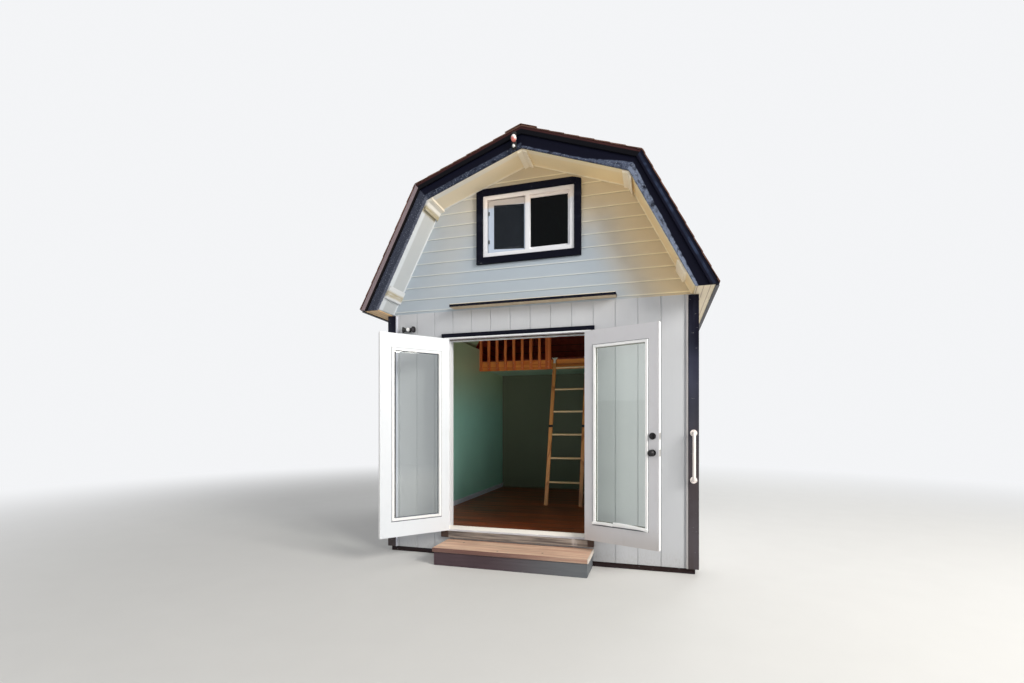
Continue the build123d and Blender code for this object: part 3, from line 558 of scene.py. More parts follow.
PINE_ACROSS = timber("orange pine across", GRAIN_ALONG_X, "#f49a4a", "#d6702c", 0.38, gloss=0.2)
PINE_UP = timber("orange pine upright", GRAIN_ALONG_Z, "#f08446", "#cc5e2e", 0.38, gloss=0.2)
LADDER_PINE = timber("ladder pine", GRAIN_ALONG_Z, "#e49c5c", "#b26834", 0.45, gloss=0.2)
RUNG_PINE = timber("rung wood", GRAIN_ALONG_X, "#f8d8ac", "#d6ac7c", 0.4)
LINING = timber("red brown lining", GRAIN_ALONG_Y, "#a24a2e", "#6e2a1c", 0.45, gloss=0.15)
FLOOR = timber("red brown floor strip", GRAIN_ALONG_X, "#a44a1c", "#60260e", 0.38, gloss=0.12, toned=True)
FRAMING = timber("framing lumber", GRAIN_ALONG_X, "#ac8c62", "#806240", 0.7, grey=0.4)
print("timber:", PINE_UP.name, LADDER_PINE.name, LINING.name, FLOOR.name)

# %% [markdown]
# ## The room's two linings
#
# The room is rolled a soft sea green. Higher up, near the loft's pine, it turns olive:
# painted warm light thrown off the pine. The far wall is darker and duller. Inside the loft
# the lining stays bare, in narrow red-brown boards. Walls and roof run through both, so
# one material changes at the loft's front edge and deck.

# %% Room lining
LOFT_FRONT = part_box("loft_floor")[0].y
LOFT_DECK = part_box("loft_floor")[1].z
LINING_BOARD = 0.112
FAR_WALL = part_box("loft_floor")[1].y - 0.002
PINE_LIGHT_HEIGHTS = (1.35, 2.25)


def room_lining(name, slope):
    """Green below and boards above, in rows up a wall or, with slope 1, down a roof."""
    position = new_material(name)
    peel = noise(position, 240, detail=2)
    cloud = noise(position, 1.3, detail=4)
    # Higher up the green turns olive: painted warm light thrown off the loft's pine.
    high = soft_step(position.z, *PINE_LIGHT_HEIGHTS)
    green = blend(high, "#9cd4c6", "#a8ba98")
    green = blend(position.y > FAR_WALL, green, "#686e5a")
    green = tinted(green, 0.9 + 0.2 * cloud)
    row = (position.z - slope * abs(position.x)) / LINING_BOARD
    gap = row % 1.0 < 0.05
    board = {"W": row.math("FLOOR", row)}
    tone = position.node("ShaderNodeTexWhiteNoise", board, noise_dimensions="1D")
    grain = noise(position, 9, GRAIN_ALONG_Y, 6)
    wood = tinted(blend(grain, "#8c241a", "#ce543a"), 0.75 + 0.4 * tone)
    wood = blend(gap, wood, "#280c0a")
    in_loft = (position.y > LOFT_FRONT) * (position.z > LOFT_DECK)
    relief = mixed(in_loft, peel, grain - 3 * gap)
    return coated(position, blend(in_loft, green, wood), 0.5, relief, 0.0006)


CEILING = painted_board("loft ceiling paint", "#aac8b2", GRAIN_ALONG_Y, 0.12)
ROOM_WALLS = room_lining("room wall lining", 0)
ROOM_ROOF = room_lining("room roof lining", 1)
print("room linings change at y", round(LOFT_FRONT, 3), "and z", round(LOFT_DECK, 3))

# %% [markdown]
# ## Metal
#
# Each metal has fine scratches, which only change its roughness and relief, and a little
# dust. Enamelled parts come from the same function, with no metal in them.

# %% Metals
def metal(name, colour, roughness, stretch=(1, 1, 1), metallic=1.0, dust=0.1):
    position = new_material(name)
    scratch = noise(position, 300, stretch, 4)
    cloud = noise(position, 11, detail=5)
    dusty = soft_step(cloud, 0.5, 0.8) * dust
    body = blend(dusty, tinted(colour, 0.85 + 0.3 * cloud), "#968e82")
    rough = roughness + 0.25 * scratch * cloud + 0.3 * dusty
    return coated(position, body, rough, scratch, 0.0002, Metallic=metallic)


STEEL = metal("zinc plated steel", "#c6c4be", 0.32)
BLACK_METAL = metal("black enamelled metal", "#1e1e22", 0.3, metallic=0.0, dust=0.15)
DRIP_METAL = metal("dark drip edge", "#2c2a32", 0.42, GRAIN_ALONG_Y, 0.0, 0.3)
LOCK_BLACK = metal("black lock metal", "#181618", 0.3, metallic=0.3, dust=0.05)
print("metals:", STEEL.name, BLACK_METAL.name, DRIP_METAL.name, LOCK_BLACK.name)

# %% [markdown]
# ## Glass
#
# A pane is see-through with a sharp reflection that grows at a glancing angle. Mixing a
# transparent and a glossy shader gives that without bending the view, and lamps still
# light the room. The mix follows Schlick's rule, which is the same on both faces of a
# pane, where a Fresnel node would take the far face for a mirror.

# %% Glass
def pane_glass(name, tint, roughness, straight):
    """A pane that reflects the share straight head-on, and nearly all at a glance."""
    position = new_material(name)
    see = position.node("ShaderNodeBsdfTransparent", {"Color": tint})
    wave = noise(position, 5, detail=1)
    normal = position.node("ShaderNodeBump", {"Height": wave, "Distance": 0.0006, "Strength": 1.0})
    gloss_parts = {"Color": "#ffffff", "Roughness": roughness, "Normal": normal}
    gloss = position.node("ShaderNodeBsdfAnisotropic", gloss_parts)
    turned = position.node("ShaderNodeLayerWeight", {"Blend": 0.5}, "Facing")
    share = straight + (1 - straight) * turned.math("POWER", turned, 5.0)
    pane = position.node("ShaderNodeMixShader", {0: share, 1: see, 2: gloss})
    return finish_material(position, pane)


LEFT_GLASS = pane_glass("left door glass", "#fafcfb", 0.02, 0.055)
RIGHT_GLASS = pane_glass("right door glass", "#f6f9f7", 0.02, 0.014)
# The window's glass is tinted dark blue-grey: painted shade for the dim loft behind it.
WINDOW_GLASS = pane_glass("window glass", "#54667a", 0.02, 0.007)
print("glass:", LEFT_GLASS.name, RIGHT_GLASS.name, WINDOW_GLASS.name)

# %% [markdown]
# ## Shingles
#
# Asphalt shingles are covered in coloured stone granules, which melt into one reddish
# brown from a distance. Each tab keeps its own shade, stored on it as an attribute when
# the roof is laid.

# %% Shingle material
def shingle_stone():
    position = new_material("red brown shingle")
    granule = position.node("ShaderNodeTexVoronoi", {"Vector": position, "Scale": 420.0}, "Color")
    speckle = granule.x
    shade = position.node("ShaderNodeAttribute", output="Fac", attribute_name="tone")
    cloud = noise(position, 2.2, detail=5)
    base = blend(shade, "#5c3e36", "#7c584a")
    body = tinted(base, 0.55 + 0.5 * speckle + 0.4 * cloud)
    moss = soft_step(noise(position, 7, detail=6), 0.58, 0.8) * 0.35
    body = blend(moss, body, "#686454")
    return coated(position, body, 0.85 + 0.1 * speckle, speckle, 0.0012)


SHINGLE = shingle_stone()
print("shingle:", SHINGLE.name)

# %% [markdown]
# ## Finishing a piece
#
# Every new shape ends the same way: normals outwards, an object at the origin with its
# materials, the body that it moves with, and the plain part that it stands for hidden. One
# function does all of that, so that no piece is forgotten. Normals that the frame stored no
# longer fit a changed mesh, so they are dropped.

# %% From a bmesh to a finished piece
SHARP_ANGLE = math.radians(35)


def new_object(name, data):
    made = bpy.data.objects.new(name, data)
    scene.collection.objects.link(made)
    return made


def closed_mesh(name, shape):
    bmesh.ops.recalc_face_normals(shape, faces=shape.faces)
    mesh = bpy.data.meshes.new(name)
    shape.to_mesh(mesh)
    shape.free()
    return mesh


def finish_piece(name, shape, materials, slot, body="building", replaces=(), smooth=False):
    mesh = closed_mesh(name, shape)
    for material in materials:
        mesh.materials.append(material)
    if "custom_normal" in mesh.attributes:
        mesh.attributes.remove(mesh.attributes["custom_normal"])
    if smooth:
        mesh.shade_smooth()
        mesh.set_sharp_from_angle(angle=SHARP_ANGLE)
    else:
        mesh.shade_flat()
    piece = new_object(name, mesh)
    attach(piece, body)
    if replaces:
        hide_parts(*replaces)
    return piece


def report(title, *pieces):
    print(title, len(pieces), "pieces,", sum(len(p.data.polygons) for p in pieces), "faces")


# %% Solid helpers
def close_loops(shape, outlines, material=0):
    """A closed solid through a row of outlines that have as many corners each."""
    rings = [[shape.verts.new(point) for point in outline] for outline in outlines]
    faces = [shape.faces.new(rings[0]), shape.faces.new(rings[-1])]
    for near, far in zip(rings, rings[1:]):
        for index, corner in enumerate(near):
            faces.append(shape.faces.new((corner, near[index - 1], far[index - 1], far[index])))
    for face in faces:
        face.material_index = material


def rectangle(left, low, right, high):
    return [(left, low), (right, low), (right, high), (left, high)]


def upright(x, z, y):
    return (x, y, z)


def flat(x, y, z):
    return (x, y, z)


def prism(shape, outline, ends, place=upright, material=0):
    """A closed solid, from an outline of pairs that is carried from one end to the other."""
    close_loops(shape, [[place(*pair, end) for pair in outline] for end in ends], material)


def add_box(shape, first, second, material=0):
    """A box between two opposite corners, in any order."""
    low, high = [[pick(pair) for pair in zip(first, second)] for pick in (min, max)]
    prism(shape, rectangle(*low[:2], *high[:2]), (low[2], high[2]), flat, material)


# %% Turned shapes
def turned(shape, profile, place, material=0, segments=24):
    """A closed solid of revolution from (distance, radius) pairs, with a pole at each end."""
    turns = [2 * math.pi * index / segments for index in range(segments)]
    rings = []
    for distance, radius in profile:
        circle = [(radius * math.cos(t), radius * math.sin(t)) for t in turns]
        circle = circle if radius else [(0, 0)]
        rings.append([shape.verts.new(place(distance, u, v)) for u, v in circle])
    for near, far in zip(rings, rings[1:]):
        for index in range(segments):
            pairs = [(near, index - 1), (near, index), (far, index), (far, index - 1)]
            corners = [ring[turn % len(ring)] for ring, turn in pairs]
            face = shape.faces.new(list(dict.fromkeys(corners)))
            face.material_index = material


# %% [markdown]
# ## Boards with eased edges
#
# Planed boards have slightly rounded edges, which catch a line of light that a perfect
# corner misses. Each plain board's mesh is copied and welded, its flat faces are joined,
# and its real corners get a small bevel.

# %% Ease the edges of a part
EASE = 0.0022
WELD = 0.00001
FLAT_ANGLE = math.radians(1)
CORNER_ANGLE = math.radians(25)


def eased(node, materials, slot, ease=EASE, suffix="_board", body="building", pick=None,
          segments=2, smooth=False, move=None):
    """A copy of a frame part with rounded corners, which stands for that part."""
    shape = bmesh.new()
    shape.from_mesh(frame["nodes"][node].data)
    for layer in list(shape.loops.layers.uv):
        shape.loops.layers.uv.remove(layer)
    bmesh.ops.remove_doubles(shape, verts=shape.verts, dist=WELD)
    if move:
        move(shape)
    bmesh.ops.dissolve_limit(shape, angle_limit=FLAT_ANGLE, verts=shape.verts, edges=shape.edges)
    corners = [edge for edge in shape.edges if edge.calc_face_angle(0) > CORNER_ANGLE]
    settings = {"affect": "EDGES", "segments": segments, "clamp_overlap": True}
    bmesh.ops.bevel(shape, geom=corners, offset=ease, **settings)
    for face in shape.faces:
        face.material_index = pick(face) if pick else 0
    return finish_piece(node + suffix, shape, materials, slot, body, [node], smooth)


# %% [markdown]
# ## Geometry Nodes helpers
#
# Whatever repeats is laid by a small node tree with named inputs, built with the same
# Wire class. When a tree has run, its result becomes a plain mesh and its host goes.

# %% Build a tree
SOCKET_KINDS = {"int": "Int", "float": "Float", "tuple": "Vector"}


def new_tree(name, values, lay):
    """A tree with named inputs like the given values, of which lay makes the geometry."""
    tree = bpy.data.node_groups.new(name, "GeometryNodeTree")
    for way in ("INPUT", "OUTPUT"):
        tree.interface.new_socket("Geometry", in_out=way, socket_type="NodeSocketGeometry")
    for label, value in values.items():
        kind = type(value).__name__
        kind = "NodeSocket" + SOCKET_KINDS.get(kind, kind)
        tree.interface.new_socket(label, in_out="INPUT", socket_type=kind)
    entry = tree.nodes.new("NodeGroupInput")
    wires = {socket.name: Wire(tree, socket) for socket in entry.outputs if socket.name}
    laid = lay(wires)
    real = laid.node("GeometryNodeRealizeInstances", {0: laid})
    parts = {"Geometry": real, "Material": wires["Material"]}
    dressed = real.node("GeometryNodeSetMaterial", parts)
    tree.links.new(dressed.socket, tree.nodes.new("NodeGroupOutput").inputs[0])
    return tree


def copies(wires, points, turn, **more):
    """Copies of the part on points, each with a random tone where the tree has a seed."""
    part = points.node("GeometryNodeObjectInfo", {"Object": wires["Part"]}, "Geometry")
    parts = {"Points": points, "Instance": part, "Rotation": turn, **more}
    placed = points.node("GeometryNodeInstanceOnPoints", parts)
    if "Seed" not in wires:
        return placed
    seed = {"Seed": wires["Seed"]}
    tone = points.node("FunctionNodeRandomValue", seed, output=1, data_type="FLOAT")
    parts = {"Geometry": placed, "Name": "tone", "Value": tone}
    store = {"data_type": "FLOAT", "domain": "INSTANCE"}
    return points.node("GeometryNodeStoreNamedAttribute", parts, **store)


# %% Run a tree
def grow(shape, tree, values, seeds=()):
    """Runs a tree, on seed points where there are any, and adds what it makes to a shape."""
    host_mesh = bpy.data.meshes.new("seeds")
    if seeds:
        host_mesh.from_pydata(seeds, [], [])
    host = new_object("host", host_mesh)
    modifier = host.modifiers.new("grow", "NODES")
    modifier.node_group = tree
    for item in tree.interface.items_tree:
        if item.in_out == "INPUT" and item.name in values:
            modifier[item.identifier] = values[item.name]
    graph = bpy.context.evaluated_depsgraph_get()
    keep = {"preserve_all_data_layers": True, "depsgraph": graph}
    mesh = bpy.data.meshes.new_from_object(host.evaluated_get(graph), **keep)
    shape.from_mesh(mesh)
    bpy.data.objects.remove(host)
    bpy.data.meshes.remove(mesh)


def hidden_part(name, shape):
    """A small mesh that trees copy, kept out of the scene."""
    return bpy.data.objects.new(name, closed_mesh(name, shape))


# %% [markdown]
# ## The grooved siding
#
# The walls are clad in wood sheets with a groove every eight inches. Each groove shows as
# a shadow line from every side, so it is cut and not painted: one profile along the wall
# is carried up from the ground gap. Behind the sheet stands the plain core of the wall,
# whose room side is painted green, or lined with red-brown boards above the loft.

# %% Siding sizes
GROOVE_PITCH = 0.2032
GROOVE_WIDTH = 0.0095
GROOVE_DEPTH = 0.0055
GROOVE_PHASE = 0.005
SHEET = 0.010
SHEETS_END_AT = 0.012


def sheet_profile(low, high, phase):
    """Points (along, in) of the sheet's section, with the outer face at 0."""
    points = [(low, SHEET), (low, 0)]
    first = math.ceil((low + SHEETS_END_AT - phase) / GROOVE_PITCH)
    last = math.floor((high - SHEETS_END_AT - phase) / GROOVE_PITCH)
    half = GROOVE_WIDTH / 2
    inner = half - GROOVE_DEPTH / 3
    for index in range(first, last + 1):
        centre = phase + index * GROOVE_PITCH
        points += [(centre - half, 0), (centre - inner, GROOVE_DEPTH)]
        points += [(centre + inner, GROOVE_DEPTH), (centre + half, 0)]
    return points + [(high, 0), (high, SHEET)]


# %% Build the walls
front_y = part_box("front_wall_head")[0].y
wall_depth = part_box("front_wall_head")[1].y - front_y
panel_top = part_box("front_wall_head")[1].z
side_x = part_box("left_wall")[0].x
floor_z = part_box("floor_boards")[1].z
WALLS = ("front_wall_left", "front_wall_right", "front_wall_head", "front_apron",
         "left_wall", "right_wall", "back_wall")


def grooved_wall(part):
    """A grooved sheet, and behind it the wall's core, which the apron doesn't have."""
    low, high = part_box(part)
    side = part.split("_")[0]
    across = side in ("front", "back")
    sign = 1 if side in ("front", "left") else -1

    def place(along, inward, z):
        if across:
            return (along, sign * (front_y + inward), z)
        return (sign * (side_x + inward), along, z)

    span = (low.x, high.x) if across else (low.y, high.y)
    top = panel_top if side == "back" else high.z
    shape = bmesh.new()
    prism(shape, sheet_profile(*span, GROOVE_PHASE if across else 0.0), (low.z, top), place)
    if part != "front_apron":
        core = rectangle(span[0], SHEET, span[1], wall_depth)
        prism(shape, core, (max(low.z, floor_z), top), place, 1)
    name = part.replace("wall", "siding").replace("apron", "apron_siding")
    return finish_piece(name, shape, [SIDING, ROOM_WALLS], "siding_paint", replaces=[part])


report("siding:", *[grooved_wall(part) for part in WALLS])

# %% [markdown]
# ## The lap boards of the gables
#
# Both gables are clad in lap boards: wedges, flush at the top and proud at the butt,
# where each laps the board below. They follow the roof's line and stop at the window's
# hole, so each course is cut into convex outlines, and every outline becomes a wedge.
# The butt of each board is painted pale: a painted highlight for the light thrown up
# from the ground.

# %% Cut a course into outlines
def outline_between(line, z_low, z_high, x_low, x_high):
    """The part of the gable between two heights and two sides, as (x, z) corners."""
    levels = [z_low, z_high]
    if z_low < line[1][1] < z_high:
        levels.insert(1, line[1][1])
    right = [(min(x_high, half_width(line, z)), z) for z in levels]
    left = [(max(x_low, -half_width(line, z)), z) for z in levels]
    corners = right + left[::-1]
    return [c for i, c in enumerate(corners) if c != corners[i - 1]]


def course_outlines(line, z_low, z_high, hole=None):
    """A course's outlines, with the window's hole left out."""
    far = line[0][0]
    left, right, sill, head = hole or (0, 0, z_high, z_high)
    cuts = [z_low, *[z for z in (sill, head) if z_low < z < z_high], z_high]
    parts = []
    for low, high in zip(cuts, cuts[1:]):
        beside = sill <= low and high <= head
        spans = [(-far, left), (right, far)] if beside else [(-far, far)]
        parts += [outline_between(line, low, high, *span) for span in spans]
    return parts


# %% Build the gables
LAP_PITCH = 0.1211
LAP_PROUD = 0.0042
LAP_FIRST_BUTT = 0.020
LAP_TOP = 0.0010
LAP_EDGE = 0.0110
LAP_EDGE_PROUD = 0.0006
HOLE_CLEARANCE = 0.0005
SQUARE_ON = 0.9


def gable_piece(name, face_y, outward, hole, replaces):
    line = roof_line("front_gable")
    top = line[2][1]
    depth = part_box("front_gable")[1].y - front_y
    shape = bmesh.new()

    def wedges(outlines, z_butt, z_top, proud, material, back=face_y):
        slope = (proud - LAP_TOP) / (z_top - z_butt)
        for outline in outlines:
            face = [(x, face_y + outward * (LAP_TOP + slope * (z_top - z)), z) for x, z in outline]
            close_loops(shape, [face, [(x, back, z) for x, z in outline]], material)

    butt = panel_top + LAP_FIRST_BUTT
    wedges(course_outlines(line, panel_top, butt), panel_top, butt, LAP_TOP, 0)
    while butt < top - WELD:
        head = butt + LAP_PITCH
        next_butt = min(head, top)
        wedges(course_outlines(line, butt, next_butt, hole), butt, head, LAP_PROUD, 0)
        # A thin strip at each butt carries the same painted highlight.
        edge = course_outlines(line, butt, min(butt + LAP_EDGE, next_butt), hole)
        wedges(edge, butt, head, LAP_PROUD + LAP_EDGE_PROUD, 1)
        butt = next_butt
    core = course_outlines(line, panel_top, top, hole)
    wedges(core, panel_top, top, 0, 2, face_y - outward * depth)
    peak = [corner for corner in shape.verts if corner.co.z > top - WELD]
    bmesh.ops.remove_doubles(shape, verts=peak, dist=WELD)
    for face in shape.faces:
        face.normal_update()
    bmesh.ops.recalc_face_normals(shape, faces=shape.faces)
    # Faces under each butt take the pale colour: a painted highlight.
    for face in shape.faces:
        if face.material_index == 0 and face.normal.z < -SQUARE_ON:
            face.material_index = 1
    materials = [LAP, LAP_EDGE_HIGHLIGHT, ROOM_WALLS]
    return finish_piece(name, shape, materials, "siding_paint", replaces=replaces)


def gables():
    low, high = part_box("window_frame")
    spare = HOLE_CLEARANCE
    hole = (low.x - spare, high.x + spare, low.z - spare, high.z + spare)
    front = gable_piece("front_gable_boards", front_y, -1, hole, ["front_gable"])
    return front, gable_piece("back_gable_boards", -front_y, 1, None, [])


report("gables:", *gables())

# %% [markdown]
# ## Pale strips at the edges of the siding
#
# A thin pale strip hides the cut ends of the gable boards under the sloping soffit, cream
# on the right as painted warm light, and white strips close the siding beside the corner
# boards, the right one painted darker as shade. They outline the whole front.

# %% Edge strips
RAKE_STRIP = 0.016
RAKE_STRIP_PROUD = 0.018
CORNER_STRIP = 0.014
CORNER_STRIP_PROUD = 0.014
CORNER_BOARD = 0.089


def rake_strips():
    shape = bmesh.new()
    outer = roof_line("front_gable")
    inner = roof_line("front_gable", RAKE_STRIP)
    for outward in (-1, 1):
        face_y = -outward * front_y
        for side in (-1, 1):
            for start in (0, 1):
                corners = [outer[start], outer[start + 1], inner[start + 1], inner[start]]
                corners = [(side * x, z) for x, z in corners]
                prism(shape, corners, (face_y + outward * RAKE_STRIP_PROUD, face_y))
    return finish_piece("gable_rake_strips", shape, [RAKE_STRIP_PAINT], "soffit_paint")


def corner_strips():
    shape = bmesh.new()
    low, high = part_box("corner_boards")
    for side in (-1, 1):
        x = side * (high.x - CORNER_BOARD)
        for outward in (-1, 1):
            y = -outward * front_y
            corner = (x - side * CORNER_STRIP, y + outward * CORNER_STRIP_PROUD, high.z)
            # The right strip takes the darker paint, as painted shade.
            add_box(shape, (x, y, low.z), corner, int(side > 0))
    finishes = [LIT_LEFT_STRIP, SHADED_RIGHT_STRIP]
    return finish_piece("corner_edge_strips", shape, finishes, "siding_paint")


report("edge strips:", rake_strips(), corner_strips())

# %% [markdown]
# ## Laying courses with a tree
#
# Shingles and floor strips are laid by one rule: rows of equal pieces, each row shifted
# against the one below and cut off at both ends. The tree makes a point for each piece
# from its index, works out its row, cut ends and tilt, and copies one part onto it with a
# random tone.

# %% The tree that lays courses
SLIVER = 0.03
LAST_ROW = 0.02


def lay_courses(wires):
    """Rows of one part, without slivers and without a last row that hardly shows."""
    pitch, length = wires["Piece length"], wires["Length"]
    exposure, run = wires["Exposure"], wires["Run"]
    columns = length.math("CEIL", length / pitch) + 1
    rows = run.math("CEIL", run / exposure - LAST_ROW)
    index = pitch.node("GeometryNodeInputIndex")
    row = index.math("FLOOR", (index + 0.5) / columns)
    shift = (row * wires["Stagger"] % 1.0) * pitch
    start = (index - row * columns) * pitch - shift
    low = index.math("MAXIMUM", start, 0.0)
    high = index.math("MINIMUM", start + pitch, length)
    up = row * exposure
    place = {0: (low + high) / 2 - length / 2, 1: up, 2: wires["Lift"]}
    count = {"Count": columns * rows, "Position": index.node("ShaderNodeCombineXYZ", place)}
    points = index.node("GeometryNodePoints", count)
    depth = index.math("MINIMUM", wires["Piece depth"], run - up)
    tilt = index.math("ARCTAN2", wires["Lift"] * -1.0, wires["Piece depth"])
    turn = index.node("ShaderNodeCombineXYZ", {0: tilt})
    size = {0: high - low - wires["Gap"], 1: depth - wires["Gap"] * wires["Gap rows"], 2: 1.0}
    scale = index.node("ShaderNodeCombineXYZ", size)
    laid = copies(wires, points, turn, Selection=(high - low) > SLIVER, Scale=scale)
    parts = {"Geometry": laid, "Translation": wires["Place"], "Rotation": wires["Turn"]}
    return laid.node("GeometryNodeTransform", parts)


# %% [markdown]
# ## The shingled roof
#
# A tab is as long as two courses. Its butt lies on the course below and its head on the
# roof, which gives the roof its saw-tooth edge at the gables. The part that the tree
# copies is one metre square, so that its scale is its size.

# %% Lay the shingles
TAB_WIDTH = 0.305
TAB_GAP = 0.007
TAB_EXPOSURE = 0.142
TAB_THICKNESS = 0.0045
TAB_LIFT = 0.009
TAB_EASE = 0.01
STARTER = 0.035
SKIN = 0.014


def unit_slab(name, thickness, inset):
    """A slab from the middle of its near edge, one metre wide and deep, with eased top."""
    shape = bmesh.new()
    foot = rectangle(-0.5, 0, 0.5, 1)
    top = rectangle(inset - 0.5, inset, 0.5 - inset, 1 - inset)
    levels = ((foot, 0), (foot, 0.6 * thickness), (top, thickness))
    close_loops(shape, [[(x, y, z) for x, y in outline] for outline, z in levels])
    return hidden_part(name, shape)


COURSE_VALUES = {
    "Part": unit_slab("tab", TAB_THICKNESS, TAB_EASE),
    "Material": SHINGLE,
    "Run": 1.0,
    "Length": 1.0,
    "Piece length": TAB_WIDTH,
    "Piece depth": 2 * TAB_EXPOSURE,
    "Exposure": TAB_EXPOSURE,
    "Gap": TAB_GAP,
    "Gap rows": 0.0,
    "Lift": TAB_LIFT,
    "Stagger": 0.5,
    "Seed": 4,
    "Place": (0.0, 0.0, 0.0),
    "Turn": (0.0, 0.0, 0.0),
}
courses = new_tree("laid courses", COURSE_VALUES, lay_courses)


def shingles(side_name, side, first_seed):
    """The courses of a side's two slopes, and the starter strip under each first course."""
    low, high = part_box("shingles_" + side_name)
    line = roof_line("shingles_right", SKIN)
    outer = roof_line("shingles_right", SKIN - TAB_LIFT)
    shape = bmesh.new()
    for index, (start, end, over) in enumerate(zip(line, line[1:], outer)):
        rise = Vector(end) - Vector(start)
        values = dict(COURSE_VALUES, Run=rise.length, Length=high.y - low.y, Seed=first_seed + index)
        values["Place"] = (side * start[0], 0.0, start[1])
        values["Turn"] = (math.atan2(rise.y, -rise.x), 0.0, side * math.pi / 2)
        grow(shape, courses, values)
        step = rise.normalized() * STARTER
        corners = [start, over, Vector(over) + step, Vector(start) + step]
        prism(shape, [(side * x, z) for x, z in corners], (low.y, high.y))
    name = "shingle_tabs_" + side_name
    replaced = ["shingles_" + side_name]
    print(side_name, "slope: knee at", round(line[1][1], 3), "m")
    return finish_piece(name, shape, [SHINGLE], "shingle", replaces=replaced)


report("shingles:", shingles("right", 1, 6), shingles("left", -1, 4))

# %% [markdown]
# ## The ridge
#
# Single tabs are bent over the ridge, each lapping the one before it. A second small tree
# sets the bent tab on a row of points and lifts the near end of each.

# %% Ridge caps
CAP_LENGTH = 0.29
CAP_EXPOSURE = 0.143
CAP_THICKNESS = 0.004
CAP_LIFT = 0.007
CAP_MARGIN = 0.001


def lay_ridge(wires):
    index = wires["Count"].node("GeometryNodeInputIndex")
    place = {1: wires["Start"] + index * wires["Step"], 2: wires["Height"]}
    count = {"Count": wires["Count"], "Position": index.node("ShaderNodeCombineXYZ", place)}
    points = index.node("GeometryNodePoints", count)
    return copies(wires, points, index.node("ShaderNodeCombineXYZ", {0: wires["Tilt"] * -1.0}))


def ridge_caps():
    low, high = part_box("ridge_cap")
    length = high.y - low.y
    drop = high.x * UPPER_SLOPE
    under = [(-high.x, -drop), (0, 0), (high.x, -drop)]
    over = [(x, z + CAP_THICKNESS) for x, z in reversed(under)]
    cap = bmesh.new()
    prism(cap, under + over, (0, CAP_LENGTH))
    count = round((length - CAP_LENGTH) / CAP_EXPOSURE) + 1
    values = {
        "Part": hidden_part("cap", cap),
        "Material": SHINGLE,
        "Count": count,
        "Start": low.y + CAP_MARGIN,
        "Step": (length - CAP_LENGTH - 2 * CAP_MARGIN) / (count - 1),
        "Height": high.z - CAP_THICKNESS - CAP_MARGIN,
        "Tilt": math.atan2(CAP_LIFT, CAP_LENGTH),
        "Seed": 11,
    }
    shape = bmesh.new()
    grow(shape, new_tree("row along the ridge", values, lay_ridge), values)
    return finish_piece("ridge_shingles", shape, [SHINGLE], "shingle", replaces=["ridge_cap"])


report("ridge:", ridge_caps())

# %% [markdown]
# ## The floor strips
#
# The room has a strip floor of red-brown hardwood that runs across the building. The
# course tree lays it too, flat, with thin gaps and a stagger that doesn't repeat.

# %% Lay the floor
STRIP_WIDTH = 0.083
STRIP_LENGTH = 0.96
STRIP_RELIEF = 0.004
STRIP_EASE = 0.004
STRIP_GAP = 0.0012
STRIP_STAGGER = 0.382


def floor_strips():
    low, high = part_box("floor_boards")
    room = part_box("loft_floor")[1]
    under = high.z - STRIP_RELIEF
    values = {
        **COURSE_VALUES,
        "Part": unit_slab("strip", STRIP_RELIEF, STRIP_EASE),
        "Material": FLOOR,
        "Run": 2 * room.y,
        "Length": 2 * room.x,
        "Piece length": STRIP_LENGTH,
        "Piece depth": STRIP_WIDTH,
        "Exposure": STRIP_WIDTH,
        "Gap": STRIP_GAP,
        "Gap rows": 1.0,
        "Lift": 0.0,
        "Stagger": STRIP_STAGGER,
        "Seed": 21,
        "Place": (0.0, -room.y, under),
    }
    shape = bmesh.new()
    grow(shape, courses, values)
    add_box(shape, low, (high.x, high.y, under))
    return finish_piece("floor_strips", shape, [FLOOR], "hardwood", replaces=["floor_boards"])


report("floor:", floor_strips())

# %% [markdown]
# ## The baseboards
#
# A low white board closes the joint of floor and wall along both sides of the room. It
# was nailed on after the strips were laid, so it stands on them.

# %% Baseboards
BASEBOARD = (0.012, 0.062)
BASEBOARD_PAINT = painted_board("baseboard paint", "#ced4e2", GRAIN_ALONG_Y)


def baseboards():
    thick, tall = BASEBOARD
    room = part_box("loft_floor")[1]
    shape = bmesh.new()
    for side in (-1, 1):
        corner = (side * (room.x - thick), room.y, floor_z + tall)
        add_box(shape, (side * room.x, -room.y, floor_z), corner)
    return finish_piece("baseboards", shape, [BASEBOARD_PAINT], "white_paint")


report("baseboards:", baseboards())

# %% [markdown]
# ## Painted and stained boards
#
# Most other boards have the right shape already, and get eased edges and their finish.
# The sill board and the step take a mask along X: the sill's ends under the jambs are
# darker, and the step's right end is bleached pale.

# %% Weathered sill and step
SILL_ENDS = (-0.83, 0.575)
KNOTS = [(0.145, 0.27), (0.71, 0.10), (0.43, 0.05)]
KNOT_RADIUS = 0.013


def sill_wood():
    position = new_material("weathered sill board")
    grain = noise(position, 60, GRAIN_ALONG_X, 6)
    cloud = noise(position, 5, detail=5)
    body = blend(soft_step(grain, 0.3, 0.7), "#58504c", "#a69c92")
    body = tinted(body, 0.75 + 0.5 * cloud)
    worn = soft_step(noise(position, 9, (1, 1, 0.4), 6), 0.52, 0.66)
    worn = worn * soft_step(position.x, 0.0, 0.5)
    body = blend(worn * 0.6, body, "#cec8c4")
    x = position.x + 0.02 * cloud
    ends = 1 - soft_step(x, SILL_ENDS[0] - 0.01, SILL_ENDS[0] + 0.01)
    ends = ends + soft_step(x, SILL_ENDS[1] - 0.01, SILL_ENDS[1] + 0.01)
    body = blend(ends, body, tinted("#46342c", 0.6 + 0.8 * grain))
    return coated(position, body, 0.8, grain, 0.002)


